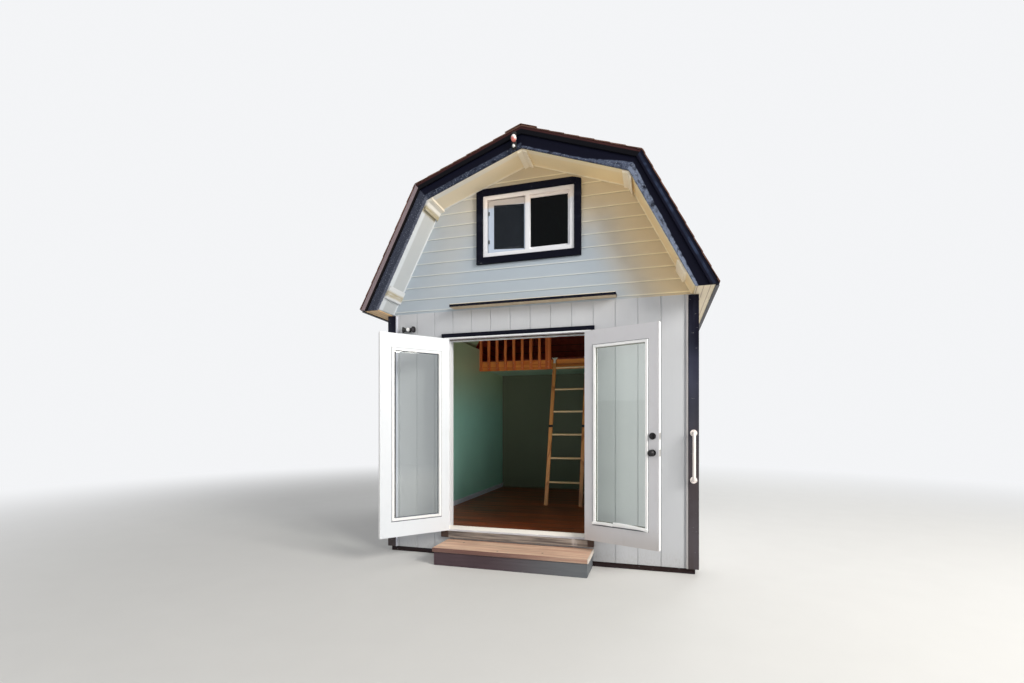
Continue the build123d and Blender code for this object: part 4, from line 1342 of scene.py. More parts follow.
def knot(position, place, radius):
    """1 inside a dark spot in a board's face."""
    parts = {0: position, 1: place}
    away = position.node("ShaderNodeVectorMath", parts, "Value", operation="DISTANCE")
    return 1 - soft_step(away, radius * 0.5, radius)


def tread_wood():
    position = new_material("worn step tread")
    low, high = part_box("step_tread")
    grain = noise(position, 45, GRAIN_ALONG_X, 6)
    cloud = noise(position, 4, detail=5)
    body = blend(soft_step(grain, 0.3, 0.7), "#d4a68e", "#f0ceb2")
    body = tinted(body, 0.82 + 0.32 * cloud)
    crack = soft_step(noise(position, 22, (0.05, 1, 1), 3), 0.64, 0.7)
    body = blend(crack * 0.35, body, "#785c50")
    for share, depth in KNOTS:
        place = (low.x + share * (high.x - low.x), low.y + depth, high.z)
        body = blend(0.8 * knot(position, place, KNOT_RADIUS), body, "#4a322a")
    front_edge = 1 - soft_step(position.y, low.y + 0.001, low.y + 0.004)
    left = 1 - soft_step(position.x, low.x + 0.5, high.x)
    body = blend(front_edge * (0.45 + 0.45 * left), body, "#603c3a")
    pale = soft_step(position.x, high.x - 0.012, high.x - 0.006)
    body = blend(pale * 0.8, body, "#d8d4cc")
    return coated(position, body, 0.75, grain - crack, 0.0025)


def riser_wood():
    position = new_material("dark step riser")
    grain = noise(position, 50, GRAIN_ALONG_X, 6)
    cloud = noise(position, 3, detail=5)
    right = soft_step(position.x, -0.4, 0.6)
    body = blend(right, blend(cloud, "#3c2c32", "#544248"), "#686c70")
    body = tinted(body, 0.7 + 0.5 * grain)
    return coated(position, body, 0.8, grain, 0.002)


SILL_WOOD = sill_wood()
TREAD_WOOD = tread_wood()
RISER_WOOD = riser_wood()
print("weathered boards:", SILL_WOOD.name, TREAD_WOOD.name, RISER_WOOD.name)


# %% Dress the boards of the frame
BOARDS = {
    "corner_boards": (NAVY, "trim_paint"),
    "fascia_boards": (LIT_CHALKED_FASCIA, "trim_paint"),
    "rake_trims": (RAKE_NAVY, "trim_paint"),
    "window_casing": (NAVY_ACROSS, "trim_paint"),
    "head_trim": (NAVY_ACROSS, "trim_paint"),
    "gable_soffits": (CREAM, "soffit_paint"),
    "lookouts": (LOOKOUT_PAINT, "soffit_paint"),
    "eave_soffits": (BEADED, "soffit_paint"),
    "base_skirt": (SKIRT, "trim_paint"),
    "window_frame": (VINYL, "white_vinyl"),
    "window_sash": (VINYL, "white_vinyl"),
    "sill_board": (SILL_WOOD, "weathered_wood"),
    "step_tread": (TREAD_WOOD, "step_wood"),
    "step_frame": (RISER_WOOD, "step_wood"),
    "loft_beam": (PINE_ACROSS, "pine"),
    "loft_handrails": (PINE_ACROSS, "pine"),
    "loft_balusters": (PINE_UP, "pine"),
    "loft_floor": (LINING, "pine"),
    "loft_joists": (FRAMING, "pine"),
    "loft_ceiling": (CEILING, "siding_paint"),
    "ladder_rails": (LADDER_PINE, "pine"),
    "ladder_hooks": (STEEL, "steel"),
}
report("eased boards:", *[eased(node, [finish], slot) for node, (finish, slot) in BOARDS.items()])

# %% [markdown]
# ## The door frame and its sill
#
# A dark foam seal lies in the rebate of the door head, and shows as a thin line between
# two pale ones. The sill is an aluminium tread outside, fluted against slipping, and a
# pale saddle that the doors close against. The finishes are picked by where a face lies.

# %% Frame, seal and sill
REBATE = 0.02
SADDLE_ABOVE = 0.016
FLUTE_PITCH = 0.009
TREAD_EASE = 0.0012


def seal_rubber():
    position = new_material("dark foam seal")
    pore = noise(position, 400, detail=3)
    body = tinted("#463630", 0.7 + 0.6 * pore)
    return coated(position, body, 0.85, pore, 0.0006)


def saddle_wood():
    position = new_material("cream saddle paint")
    grain = noise(position, 130, GRAIN_ALONG_X, 5)
    scuff = soft_step(noise(position, 12, (0.3, 1, 1), 6), 0.45, 0.8)
    body = blend(0.5 * scuff, "#f8f3e8", "#d2c8b8")
    return coated(position, body, 0.5 + 0.2 * scuff, grain, 0.0005)


def fluted_aluminium():
    position = new_material("fluted aluminium tread")
    scratch = noise(position, 300, GRAIN_ALONG_X, 4)
    worn = noise(position, 6, (1, 3, 1), 6)
    wave = position.y * (2 * math.pi / FLUTE_PITCH)
    flute = wave.math("SINE", wave)
    body = blend(soft_step(worn, 0.4, 0.75) * 0.5, "#e8e5ea", "#bab6bc")
    rough = 0.35 + 0.3 * worn + 0.1 * scratch
    relief = 0.5 * flute + 0.1 * scratch
    return coated(position, body, rough, relief, 0.0012, Metallic=0.35)


FOAM_SEAL = seal_rubber()
SADDLE = saddle_wood()
FLUTED = fluted_aluminium()
frame_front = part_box("door_jambs")[0].y


def seal_side(face):
    centre = face.calc_center_median()
    return int(face.normal.y < -SQUARE_ON and centre.y > frame_front + REBATE)


def saddle_side(face):
    return int(face.calc_center_median().z > floor_z + SADDLE_ABOVE)


door_frame = [
    eased("door_jambs", [JAMB_WHITE], "white_paint"),
    eased("door_head", [JAMB_WHITE, FOAM_SEAL], "white_paint", pick=seal_side),
    eased("threshold", [FLUTED, SADDLE], "mill_aluminium", TREAD_EASE, pick=saddle_side),
]
report("door frame:", *door_frame)

# %% [markdown]
# ## The hood ledge
#
# The narrow shelf over the doors has a dark front edge, a tan underside darkened as
# painted shade, and a pale top. A bead of white sealant runs along the top of the front
# edge. Faces are sorted by the way they look, and the bead is a thin bar of its own.

# %% Hood ledge
BEAD_RADIUS = 0.0035
BEAD_MARGIN = 0.004
PALE_SHARE = 0.176


def ledge_side(face):
    if face.normal.z < -0.5:
        return 1
    return 2 if face.normal.z > 0.5 else 0


def ledge_bead():
    low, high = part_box("hood_ledge")
    edge_top = high.z - (high.z - low.z) * PALE_SHARE
    left, right = low.x + BEAD_MARGIN, high.x - BEAD_MARGIN

    def place(x, u, v):
        return (x, low.y + BEAD_RADIUS + u, edge_top + v)

    shape = bmesh.new()
    profile = [(left, 0), (left, BEAD_RADIUS), (right, BEAD_RADIUS), (right, 0)]
    turned(shape, profile, place, segments=10)
    return finish_piece("hood_ledge_bead", shape, [PALE_EDGE], "white_paint", smooth=True)


# The underside is painted a darker tan: painted shade.
LEDGE_FINISH = [NAVY_ACROSS, LEDGE_UNDERSIDE_SHADE, PALE_EDGE]
report("hood:", eased("hood_ledge", LEDGE_FINISH, "trim_paint", pick=ledge_side), ledge_bead())

# %% [markdown]
# ## The door leaves
#
# Each leaf is a flush slab with a bevelled frame of bright plastic round its glass, all
# in one solid, so its faces are sorted: what lies within the glazing frame's outline is
# bright, and so is the leaf's free edge, as a painted highlight. The outline is known for
# the closed leaf, so points are first turned back. At the free side the glazing frame
# stands a little further in and covers the pane's edge.

# %% From the open leaf to its closed place and back
OPEN_ANGLES = {"left": -130, "right": 159}
MIRRORED = {"left": 1, "right": -1}
hinge_lines = {joint["name"]: Vector(joint["pos_m"]) for joint in frame["joints"]}


def hinge_line(side):
    pin = hinge_lines[side + "_door_hinge"]
    return Vector((pin.x, pin.y, 0))


def closed_place(side, point):
    turn = Matrix.Rotation(-math.radians(OPEN_ANGLES[side]), 3, "Z")
    place = turn @ (Vector(point) - hinge_line(side))
    return Vector((MIRRORED[side] * place.x, place.y, place.z))


def open_place(side, point):
    place = Vector((MIRRORED[side] * point[0], point[1], point[2]))
    turn = Matrix.Rotation(math.radians(OPEN_ANGLES[side]), 3, "Z")
    return turn @ place + hinge_line(side)


glass_corner = closed_place("left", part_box("left_door_glass")[0])
print("left glass, closed:", [round(value, 3) for value in glass_corner])

# %% Door leaves with bright glazing frames
LEAF_EASE = 0.002
FRAME_MARGIN = 0.0245
FRAME_SLACK = 0.01
LEAF_MIDDLE = 0.03
LEAF_EDGE = 0.7045
GLASS_REBATE = 0.008
FRAME_COVER = {"left": 0.028, "right": 0.009}


def glass_limits(side):
    """Limits of the pane along the leaf, through it and in height."""
    mesh = frame["nodes"][side + "_door_glass"].data
    points = [closed_place(side, v.co) for v in mesh.vertices]
    return [(min(p[axis] for p in points), max(p[axis] for p in points)) for axis in range(3)]


def glass_outline(side):
    """The same limits, less what the glazing frame covers at the leaf's free side."""
    across, through, up = glass_limits(side)
    return (across[0], across[1] - FRAME_COVER[side]), through, up


def cover_glass(side):
    """Moves the glazing frame's free side inwards over the pane."""
    edge = glass_limits(side)[0][1]

    def move(shape):
        for corner in shape.verts:
            place = closed_place(side, corner.co)
            if abs(place.x - edge) < FRAME_MARGIN + FRAME_SLACK:
                place.x -= FRAME_COVER[side]
                corner.co = open_place(side, place)

    return move


def dressed_leaf(side):
    across, _, up = glass_outline(side)

    def on_frame(face):
        points = [closed_place(side, v.co) for v in face.verts]
        inside = all(
            across[0] - FRAME_MARGIN < p.x < across[1] + FRAME_MARGIN
            and up[0] - FRAME_MARGIN < p.z < up[1] + FRAME_MARGIN
            for p in points
        )
        below = all(p.y > LEAF_MIDDLE and p.z < up[0] + GLASS_REBATE for p in points)
        fallen = side == "right" and below
        # The leaf's free edge is painted bright: a painted highlight.
        lit_edge = all(p.x > LEAF_EDGE for p in points)
        return int(lit_edge or (inside and not fallen))

    materials = [SUNLIT_WHITE if side == "left" else DOOR_WHITE, MOULDING_WHITE]
    body = side + "_door"
    return eased(body, materials, "white_paint", LEAF_EASE, "_leaf", body, on_frame,
                 move=cover_glass(side))


# %% [markdown]
# ## The bar between the panes, and a painted shadow line
#
# A hollow metal bar keeps the two panes apart, and shows as a thin line inside the white
# frame. Outside the frame a grey ring is a painted shadow where the glazing frame meets
# the leaf, thicker at the bottom. Both are flat rectangular rings that move with their
# leaf.

# %% Spacer bars and sealant
SPACER_WIDTH = 0.007
SPACER_SETBACK = 0.0035
# On the right leaf the bar is painted pale, as painted light; on the left it keeps a dark colour.
SPACERS = {
    "left": metal("dark spacer bar", "#3c4654", 0.4, metallic=0.2),
    "right": metal("pale spacer bar", "#8c8c80", 0.4, metallic=0.2),
}
SHADOW_LINE = metal("grey sealant", "#545860", 0.6, metallic=0.0)
SHADOW_LINE_WIDTHS = (0.0035, 0.0085, 0.0035)
SHADOW_LINE_DEPTHS = (0.051, 0.053)


def door_ring(side, name, outer, widths, through, material, slot):
    """A ring within outer limits, with a width for the sides, the bottom and the top."""
    (x0, x1), (z0, z1) = outer
    aside, under, above = widths
    bars = [
        (x0, z0, x0 + aside, z1),
        (x1 - aside, z0, x1, z1),
        (x0 + aside, z0, x1 - aside, z0 + under),
        (x0 + aside, z1 - above, x1 - aside, z1),
    ]

    def place(x, z, y):
        return open_place(side, (x, y, z))

    shape = bmesh.new()
    for bar in bars:
        prism(shape, rectangle(*bar), through, place)
    return finish_piece(side + name, shape, [material], slot, side + "_door")


def spacer_bar(side):
    across, through, up = glass_outline(side)
    depths = (through[0] + SPACER_SETBACK, through[1] - SPACER_SETBACK)
    widths = (SPACER_WIDTH,) * 3
    return door_ring(side, "_door_spacer", (across, up), widths, depths, SPACERS[side], "steel")


# A grey ring round the glazing frame: a painted shadow, thicker at the bottom.
def sealant_bead(side):
    across, _, up = glass_outline(side)
    aside, under, above = [FRAME_MARGIN + width for width in SHADOW_LINE_WIDTHS]
    outer = ((across[0] - aside, across[1] + aside), (up[0] - under, up[1] + above))
    finish = (SHADOW_LINE, "white_vinyl")
    return door_ring(side, "_door_sealant", outer, SHADOW_LINE_WIDTHS, SHADOW_LINE_DEPTHS, *finish)


for side in ("left", "right"):
    report(side + " leaf:", dressed_leaf(side), spacer_bar(side), sealant_bead(side))

# %% [markdown]
# ## The loose glazing bead
#
# Inside the right leaf the bead under the glass has come away, in two lengths: the
# shorter lies nearly straight, and the longer bows up and drops back to the corner. Each
# is a thin bar carried along a short row of heights.

# %% Loose bead
BEAD_FACE = 0.0605
BEAD_SECTION = [(-0.002, -0.026), (0.006, -0.023), (0.006, -0.005), (-0.002, 0.0)]
BEAD_LEFT = [(0.0, 0.0), (0.12, 0.005), (0.25, 0.007), (0.375, 0.002)]
BEAD_RIGHT = [(0.395, 0.016), (0.5, 0.017), (0.64, 0.014), (0.78, 0.009), (0.9, 0.002), (1.0, -0.006)]


def loose_bead():
    across, _, up = glass_outline("right")
    width = across[1] - across[0] + 2 * FRAME_MARGIN
    shape = bmesh.new()
    for length in (BEAD_LEFT, BEAD_RIGHT):
        outlines = []
        for share, rise in length:
            x = across[0] - FRAME_MARGIN + share * width
            corners = [(x, BEAD_FACE + y, up[0] + rise + z) for y, z in BEAD_SECTION]
            outlines.append([open_place("right", corner) for corner in corners])
        close_loops(shape, outlines)
    return finish_piece("right_door_loose_bead", shape, [MOULDING_WHITE], "white_vinyl", "right_door")


report("loose bead:", loose_bead())

# %% [markdown]
# ## Locks
#
# A round knob and, above it, a bolt with a thumb turn sit near the free edge of the right
# leaf, black, with zinc plates on the edge. The frame's knob has flat bevels, so here
# they are rounded until it reads as a ball.

# %% Lock parts
def lock_side(face):
    return int(closed_place("right", face.calc_center_median()).x > LEAF_EDGE)


LOCKS = [
    ("lock_plates", [LOCK_BLACK, STEEL], 0.0008, "_roses", "right_door", lock_side, 2),
    ("door_knob", [LOCK_BLACK], 0.006, "_ball", "door_knob", None, 3),
    ("thumb_turn", [LOCK_BLACK], 0.003, "_grip", "thumb_turn", None, 3),
]
locks = [
    eased(node, finishes, "black_metal", ease, suffix, body, pick, segments, smooth=True)
    for node, finishes, ease, suffix, body, pick, segments in LOCKS
]
report("locks:", *locks)

# %% [markdown]
# ## The wall light
#
# Beside the left door a small floodlight has two flared black heads on a black base, with
# a white motion sensor between them. All of it is turned work, so each part is a profile
# spun about its own axis, with the lenses as discs inside the rims.

# %% Lamp finishes
def lamp_finish(name, colour, shade, roughness, low, high):
    """A glossy finish that turns to a second colour towards the lower left, as painted shade."""
    position = new_material(name)
    cloud = noise(position, 30, detail=3)
    lean = position.z + 0.7 * position.x + 0.004 * cloud
    body = blend(soft_step(lean, low, high), shade, colour)
    fine = noise(position, 200, detail=2)
    return coated(position, body, roughness, fine, 0.0001)


LAMP_BLACK = metal("black lamp paint", "#090a0c", 0.55, metallic=0.0, dust=0.05)
SENSOR_WHITE = lamp_finish("white sensor plastic", "#fafafa", "#e8e8e8", 0.3, 0, 1)
LENS = lamp_finish("pale lamp lens", "#eceeec", "#c8ccce", 0.12, 0, 1)
DARK_LENS = lamp_finish("dark lamp lens", "#2e2a30", "#222026", 0.2, 0, 1)
PINK_HEIGHTS = [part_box("peak_light")[0].z + height for height in (0.037, 0.067)]
# The bulb is painted white at the top as its highlight and pink below as its shade.
BULB = lamp_finish("peak bulb glass", "#fff6f4", "#d6786c", 0.1, *PINK_HEIGHTS)
print("lamp finishes:", SENSOR_WHITE.name, LENS.name, BULB.name)

# %% Build the wall light
BASE_RADIUS = 0.024
BASE_DEPTH = 0.034
HEAD_ROOT = 0.020
HEAD_FORWARD = math.radians(14)
HEAD_PROFILE = [(0.010, 0), (0.010, 0.007), (0.018, 0.010), (0.058, 0.0315), (0.064, 0.033),
                (0.064, 0.0290), (0.056, 0.0270), (0.056, 0)]
LENS_PROFILE = [(0.0555, 0), (0.0555, 0.0248), (0.0585, 0.0225), (0.061, 0.014), (0.062, 0)]
BASE_PROFILE = [(0, 0), (0, BASE_RADIUS), (0.026, BASE_RADIUS), (BASE_DEPTH, 0.020),
                (BASE_DEPTH, 0)]
SENSOR_PROFILE = [(BASE_DEPTH - 0.001, 0), (BASE_DEPTH - 0.001, 0.0195), (0.048, 0.0190),
                  (0.056, 0.014), (0.060, 0)]


def wall_light():
    low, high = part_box("wall_light")
    middle = (low + high) / 2
    root = Vector((middle.x, high.y - HEAD_ROOT, middle.z))
    shape = bmesh.new()

    def out_of_wall(a, u, v):
        return (middle.x + u, high.y - a, middle.z + v)

    turned(shape, BASE_PROFILE, out_of_wall, 1)
    turned(shape, SENSOR_PROFILE, out_of_wall, 2)
    for side in (-1, 1):
        ahead = Vector((side * math.cos(HEAD_FORWARD), -math.sin(HEAD_FORWARD), 0))
        across = Vector((math.sin(HEAD_FORWARD), side * math.cos(HEAD_FORWARD), 0))

        def along_head(a, u, v):
            return root + a * ahead + u * across + Vector((0, 0, v))

        turned(shape, HEAD_PROFILE, along_head, 0)
        turned(shape, LENS_PROFILE, along_head, 3)
    finishes = [LAMP_BLACK, LAMP_BLACK, SENSOR_WHITE, DARK_LENS]
    return finish_piece("wall_light_lamps", shape, finishes, "black_metal",
                        replaces=["wall_light"], smooth=True)


report("wall light:", wall_light())

# %% [markdown]
# ## The lamp at the peak
#
# A smaller lamp is screwed to the fascia under the ridge: a black case with a bulb of
# pinkish glass above, white at the top as a painted highlight and pink below as painted
# shade, and a small eye below. The case is a rounded box, and bulb and eye are turned.

# %% Build the peak lamp
FOOT_DEPTH = 0.015
FOOT_HALF = 0.010
CASE_HALF = 0.020
CASE_ROUNDING = 0.006
SEAT = 0.001
BULB_REACH = 0.030
BULB_PROFILE = [(0, 0), (0, 0.024), (0.005, 0.024), (0.005, 0.0225), (0.016, 0.0232), (0.024, 0.018),
                (0.0285, 0.009), (BULB_REACH, 0)]
EYE_PROFILE = [(0, 0), (0, 0.014), (0.006, 0.014), (0.012, 0.0115), (0.0165, 0.006), (0.018, 0)]
BULB_UP = 0.087
BULB_TALL = 1.35
EYE_UP = 0.020


def peak_lamp():
    low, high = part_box("peak_light")
    x = (low.x + high.x) / 2
    front, back = low.y + BULB_REACH, high.y - FOOT_DEPTH
    shape = bmesh.new()
    add_box(shape, (x - CASE_HALF, front, low.z), (x + CASE_HALF, back, high.z))
    bmesh.ops.bevel(shape, geom=shape.edges[:], offset=CASE_ROUNDING, segments=3, affect="EDGES")
    foot = (x - FOOT_HALF, back - SEAT, low.z + EYE_UP)
    add_box(shape, foot, (x + FOOT_HALF, high.y, low.z + BULB_UP))
    for profile, up, tall, finish in ((BULB_PROFILE, BULB_UP, BULB_TALL, 1), (EYE_PROFILE, EYE_UP, 1, 2)):

        def place(a, u, v):
            return (x + u, front + SEAT / 2 - a, low.z + up + tall * v)

        turned(shape, profile, place, finish)
    finishes = [LAMP_BLACK, BULB, LENS]
    return finish_piece("peak_light_case", shape, finishes, "black_metal",
                        replaces=["peak_light"], smooth=True)


report("peak lamp:", peak_lamp())

# %% [markdown]
# ## Handle, rungs and hinges
#
# The grab handle, the ladder's rungs and the hinges are round. They only need smooth
# shading and a little rounding where their ends stop.

# %% Smooth round parts
HANDLE_EASE = 0.0012
RUNG_EASE = 0.0015
HINGE_EASE = 0.0006
handle = eased("grab_handle", [HANDLE_WHITE], "white_metal", HANDLE_EASE, "_bar", smooth=True)
rungs = eased("ladder_rungs", [RUNG_PINE], "pine", RUNG_EASE, "_round", smooth=True)
HINGES = {"left_door_hinges": "left_door", "right_door_hinges": "right_door", "jamb_hinges": "building"}
hinges = [
    eased(node, [STEEL], "steel", HINGE_EASE, "_half", body, smooth=True)
    for node, body in HINGES.items()
]
report("round parts:", handle, rungs, *hinges)

# %% [markdown]
# ## Ladder fittings
#
# A dark strap is wound round each rail below its middle, and a pale forked plate at the
# top of each rail holds the hook. The rails lean, so every height needs the lean's own Y,
# which comes from the box of the rails.

# %% Straps and forks
RAIL_WIDTH = 0.048
RAIL_SLICE = 0.0355
STRAP_HEIGHTS = (1.300, 1.334)
STRAP_PROUD = 0.002
FORK = [(-0.014, -0.085), (0.014, -0.085), (0.016, -0.035), (0.042, -0.004), (0.034, 0.004),
        (0.012, -0.012), (-0.012, -0.012), (-0.034, 0.004), (-0.042, -0.004), (-0.016, -0.035)]
FORK_PROUD = (0.0075, 0.0035)
FORK_UP = 0.002
rails_low, rails_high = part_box("ladder_rails")
LEAN = (rails_high.y - RAIL_SLICE - rails_low.y) / (rails_high.z - rails_low.z)
RAIL_MIDDLES = (rails_low.x + RAIL_WIDTH / 2, rails_high.x - RAIL_WIDTH / 2)


def on_rail(middle, x, out, z):
    """A place beside a rail's middle line, so far out from the rail's front face."""
    return (middle + x, rails_low.y + (z - rails_low.z) * LEAN - out, z)


def ladder_straps():
    shape = bmesh.new()
    half = RAIL_WIDTH / 2 + STRAP_PROUD
    outline = rectangle(-half, STRAP_PROUD, half, -RAIL_SLICE - STRAP_PROUD)
    for middle in RAIL_MIDDLES:
        rings = [[on_rail(middle, x, out, z) for x, out in outline] for z in STRAP_HEIGHTS]
        close_loops(shape, rings)
    return finish_piece("ladder_straps", shape, [BLACK_METAL], "black_metal")


def ladder_forks():
    shape = bmesh.new()
    top = rails_high.z + FORK_UP
    for middle in RAIL_MIDDLES:
        rings = [[on_rail(middle, x, out, top + z) for x, z in FORK] for out in FORK_PROUD]
        close_loops(shape, rings)
    return finish_piece("ladder_forks", shape, [HANDLE_WHITE], "white_metal")


report("ladder fittings:", ladder_straps(), ladder_forks())

# %% [markdown]
# ## The window's screen and latches
#
# The left light slides, so it has an insect screen in front. Its frame hangs a little
# askew, so its bars are wider at one end. The mesh is finer than a pixel: one thin sheet,
# whose material lets part of the light through between its threads.

# %% Insect screen
SCREEN_THREAD = 0.0016
THREAD_SHARE = 0.35
SCREEN_OPENING = [(0.067, 0.034), (-0.0135, 0.0134), (-0.0135, -0.075), (0.067, -0.054)]
SCREEN_GAP = [(0.010, 0.002), (-0.001, 0.001), (-0.001, -0.010), (0.010, -0.006)]
SCREEN_HALF = 0.004
SCREEN_SHEET = 0.0006
LATCHES = (0.092, 0.374)
LATCH_SIDES = (0.012, 0.024)
LATCH_PROUD = 0.003
LATCH_TALL = 0.036


def screen_mesh():
    position = new_material("insect screen mesh")
    x = position.x / SCREEN_THREAD % 1.0
    z = position.z / SCREEN_THREAD % 1.0
    alpha = 0.3 + 0.6 * position.math("MAXIMUM", x < THREAD_SHARE, z < THREAD_SHARE)
    parts = {"Base Color": "#06121e", "Roughness": 0.8, "Alpha": alpha}
    return finish_material(position, position.node("ShaderNodeBsdfPrincipled", parts))


def window_screen():
    low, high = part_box("window_sash")
    front = front_y - SCREEN_HALF
    sash = rectangle(low.x, low.z, high.x, high.z)
    inner, outer = [
        [(x + dx, z + dz) for (x, z), (dx, dz) in zip(sash, shifts)]
        for shifts in (SCREEN_OPENING, SCREEN_GAP)
    ]
    shape = bmesh.new()
    for index in range(4):
        bar = [outer[index - 1], outer[index], inner[index], inner[index - 1]]
        prism(shape, bar, (front, front_y + SCREEN_HALF))
    prism(shape, inner, (front_y, front_y + SCREEN_SHEET), material=1)
    left, right = [low.x + side for side in LATCH_SIDES]
    for z in [low.z + height for height in LATCHES]:
        add_box(shape, (left, front - LATCH_PROUD, z), (right, front, z + LATCH_TALL), 2)
    finishes = [SCREEN_VINYL, screen_mesh(), BLACK_METAL]
    return finish_piece("window_screen", shape, finishes, "white_vinyl")


report("screen:", window_screen())

# %% [markdown]
# ## Screw heads
#
# Screws hold the handle, the lock's edge plates, the sill, the step and the loft's posts.
# One tree sets a small dished head on every seed point and turns it to face the way its
# surface does. Each group of seeds lies on one plane, so one turn serves the whole group.

# %% The tree that sets fasteners
SCREW_PROFILE = [(0, 0), (0, 0.0038), (0.0009, 0.0036), (0.0017, 0.0024), (0.0012, 0.0011), (0.0006, 0)]


def lay_fasteners(wires):
    return copies(wires, wires["Geometry"], wires["Turn"])


def screw_head():
    shape = bmesh.new()
    turned(shape, SCREW_PROFILE, lambda a, u, v: (u, v, a), segments=10)
    return hidden_part("screw_head", shape)


SCREW_VALUES = {"Part": screw_head(), "Material": STEEL, "Turn": (0.0, 0.0, 0.0)}
fasteners = new_tree("fasteners", SCREW_VALUES, lay_fasteners)

# %% Where the screws are
POST_PITCH = 0.132
LEFT_NEWEL = -0.34
LEFT_POSTS = 8
RIGHT_NEWEL = 0.46
RIGHT_POSTS = 7
SILL_SCREWS = 6
SILL_SCREW_ROW = 0.012
SILL_PROUD = 0.0024
STEP_SCREW_INSETS = (0.05, 0.04, 0.06)
HANDLE_ROSE = 0.030
ROSE_THICKNESS = 0.006
HANDLE_SCREWS = 0.0225
EDGE_PLATE = (0.709, 0.030)
PLATE_SCREWS = (-0.022, 0.022)
SCREW_INSET = 0.035


def handle_screws():
    low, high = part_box("grab_handle")
    x = (low.x + high.x) / 2
    angles = [math.radians(turn) for turn in (90, 210, 330)]
    ring = [(HANDLE_SCREWS * math.cos(angle), HANDLE_SCREWS * math.sin(angle)) for angle in angles]
    middles = (low.z + HANDLE_ROSE, high.z - HANDLE_ROSE)
    return [(x + u, high.y - ROSE_THICKNESS, z + v) for z in middles for u, v in ring]


def lock_screws():
    heights = [hinge_lines[joint].z for joint in ("knob_turn", "thumb_turn_turn")]
    edge = [(*EDGE_PLATE, z + shift) for z in heights for shift in PLATE_SCREWS]
    return [open_place("right", place) for place in edge]


def sill_and_step_screws():
    low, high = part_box("threshold")
    width = high.x - low.x
    shares = [(index + 0.5) / SILL_SCREWS for index in range(SILL_SCREWS)]
    y, z = low.y + SILL_SCREW_ROW, floor_z + SILL_PROUD
    seeds = [(low.x + share * width, y, z) for share in shares]
    low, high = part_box("step_tread")
    aside, front, back = STEP_SCREW_INSETS
    xs = (low.x + aside, (low.x + high.x) / 2, high.x - aside)
    ys = (low.y + front, (low.y + high.y) / 2, high.y - back)
    return seeds + [(x, y, high.z) for x in xs for y in ys]


def post_screws():
    low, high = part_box("loft_beam")
    posts_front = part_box("loft_balusters")[0].y
    middles = [LEFT_NEWEL - POST_PITCH * index for index in range(LEFT_POSTS)]
    middles += [RIGHT_NEWEL + POST_PITCH * index for index in range(RIGHT_POSTS)]
    heights = (low.z + SCREW_INSET, high.z - SCREW_INSET)
    return [(x, posts_front, z) for x in middles for z in heights]


def screws(name, seeds, turn, body="building"):
    shape = bmesh.new()
    grow(shape, fasteners, dict(SCREW_VALUES, Turn=turn), [tuple(seed) for seed in seeds])
    return finish_piece(name, shape, [STEEL], "steel", body, smooth=True)


UP = (0.0, 0.0, 0.0)
OUT_OF_WALL = (math.radians(90), 0.0, 0.0)
OUT_OF_EDGE = (math.radians(90), 0.0, math.radians(OPEN_ANGLES["right"] - 90))
screw_groups = [
    screws("handle_screws", handle_screws(), OUT_OF_WALL),
    screws("sill_and_step_screws", sill_and_step_screws(), UP),
    screws("post_screws", post_screws(), OUT_OF_WALL),
    screws("edge_plate_screws", lock_screws(), OUT_OF_EDGE, "right_door"),
]
report("screws:", *screw_groups)

# %% [markdown]
# ## Parts that keep their shape
#
# The rest of the frame keeps its own mesh and only takes a material: framing that is
# hidden under the floor, the roof's boards, the drips at the eaves and the glass.

# %% Paint the other parts
FINISHES = [
    (FRAMING, "skids", "floor_frame"),
    (ROOM_ROOF, "roof_lower_left", "roof_lower_right", "roof_upper_left", "roof_upper_right"),
    (DRIP_METAL, "eave_drips"),
    (LEFT_GLASS, "left_door_glass"),
    (RIGHT_GLASS, "right_door_glass"),
    (WINDOW_GLASS, "window_glass"),
]
for material, *nodes in FINISHES:
    for node in nodes:
        mesh = frame["nodes"][node].data
        mesh.materials.clear()
        mesh.materials.append(material)
    print(material.name + ":", *nodes)

# %% [markdown]
# ## Floor and light
#
# A plain pale floor and surround keep the colours honest. One large soft lamp stands high
# on the right, where the sun stood, a weaker one fills from the left, and the world lights
# the rest. The surround is brighter to the camera than the light it gives, and the floor
# fades into it. A hidden lamp stands in for the light that a sunlit floor throws up.

# %% Floor
FLOOR_HALF = 40.0
FADE = (4.5, 12.0)
PALE = "#f8f9fb"
PALE_STRENGTH = 0.96


def seen_rays(wire):
    """1 for rays that show the surround: from the camera, a reflection or through glass."""
    path = wire.node("ShaderNodeLightPath", output="Is Camera Ray")
    outputs = path.socket.node.outputs
    glossy = Wire(wire.tree, outputs["Is Glossy Ray"])
    through = Wire(wire.tree, outputs["Is Transmission Ray"])
    return path.math("MINIMUM", path + glossy + through, 1.0)


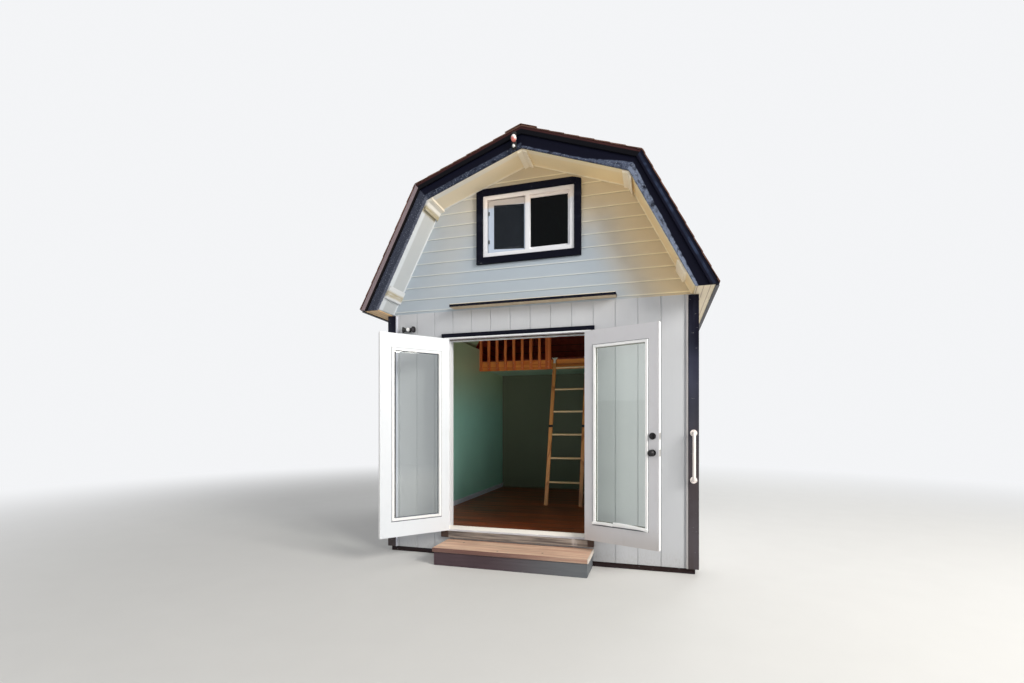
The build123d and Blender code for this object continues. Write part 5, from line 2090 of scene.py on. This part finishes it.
def pale_floor():
    corners = [(x, y, 0) for x, y in rectangle(-FLOOR_HALF, -FLOOR_HALF, FLOOR_HALF, FLOOR_HALF)]
    mesh = bpy.data.meshes.new("studio_floor")
    mesh.from_pydata(corners, [], [(0, 1, 2, 3)])
    position = new_material("studio floor")
    colour = tinted("#e4e3e0", 0.98 + 0.04 * noise(position, 3, detail=2))
    matt = position.node("ShaderNodeBsdfPrincipled", {"Base Color": colour, "Roughness": 0.9})
    pale = position.node("ShaderNodeEmission", {"Color": PALE, "Strength": PALE_STRENGTH})
    distance = position.node("ShaderNodeVectorMath", {0: position}, "Value", operation="LENGTH")
    parts = {0: soft_step(distance, *FADE) * seen_rays(position), 1: matt, 2: pale}
    mesh.materials.append(finish_material(position, position.node("ShaderNodeMixShader", parts)))
    floor = new_object("studio_floor", mesh)
    return floor


print("floor:", pale_floor().name)


# %% Lamps and surround
def soft_lamp(name, place, aim, size, power, colour):
    lamp = bpy.data.lights.new(name, "AREA")
    lamp.size = size
    lamp.energy = power
    lamp.color = colour
    holder = new_object(name, lamp)
    holder.location = place
    direction = Vector(aim) - Vector(place)
    holder.rotation_euler = direction.to_track_quat("-Z", "Y").to_euler()
    return holder


def pale_world(light, shown):
    world = bpy.data.worlds.new("studio")
    scene.world = world
    world.use_nodes = True
    tree = world.node_tree
    tree.nodes.clear()
    pale = tree.nodes.new("ShaderNodeBackground")
    pale.inputs["Color"].default_value = paint(PALE)
    surround = Wire(tree, pale.outputs[0])
    strength = mixed(seen_rays(surround), light, shown)
    tree.links.new(strength.socket, pale.inputs["Strength"])
    end = tree.nodes.new("ShaderNodeOutputWorld")
    tree.links.new(surround.socket, end.inputs["Surface"])


MIDDLE = (0.0, -1.8, 1.6)
KEY_COLOUR = (1.0, 0.97, 0.92)
SKY_COLOUR = (0.93, 0.965, 1.0)
soft_lamp("key_lamp", (9.5, -7.0, 6.0), MIDDLE, 4.5, 1180, KEY_COLOUR)
soft_lamp("low_lamp", (4.5, -8.5, 2.0), (-1.0, -0.8, 1.3), 3.0, 20, KEY_COLOUR)
soft_lamp("fill_lamp", (-7.0, -8.0, 4.0), MIDDLE, 4.0, 80, SKY_COLOUR)
soft_lamp("back_lamp", (4.0, 9.0, 8.0), (0.0, 1.8, 1.8), 5.0, 420, SKY_COLOUR)
room_lamp = soft_lamp("room_lamp", (0.25, -1.45, 0.35), (-1.2, 0.2, 2.1), 0.7, 7.6, KEY_COLOUR)
room_lamp.data.spread = math.radians(95)
room_lamp.visible_camera = False
pale_world(0.41, PALE_STRENGTH)
print("lamps:", [o.name for o in scene.objects if o.type == "LIGHT"])

# %% The end
print("the end")
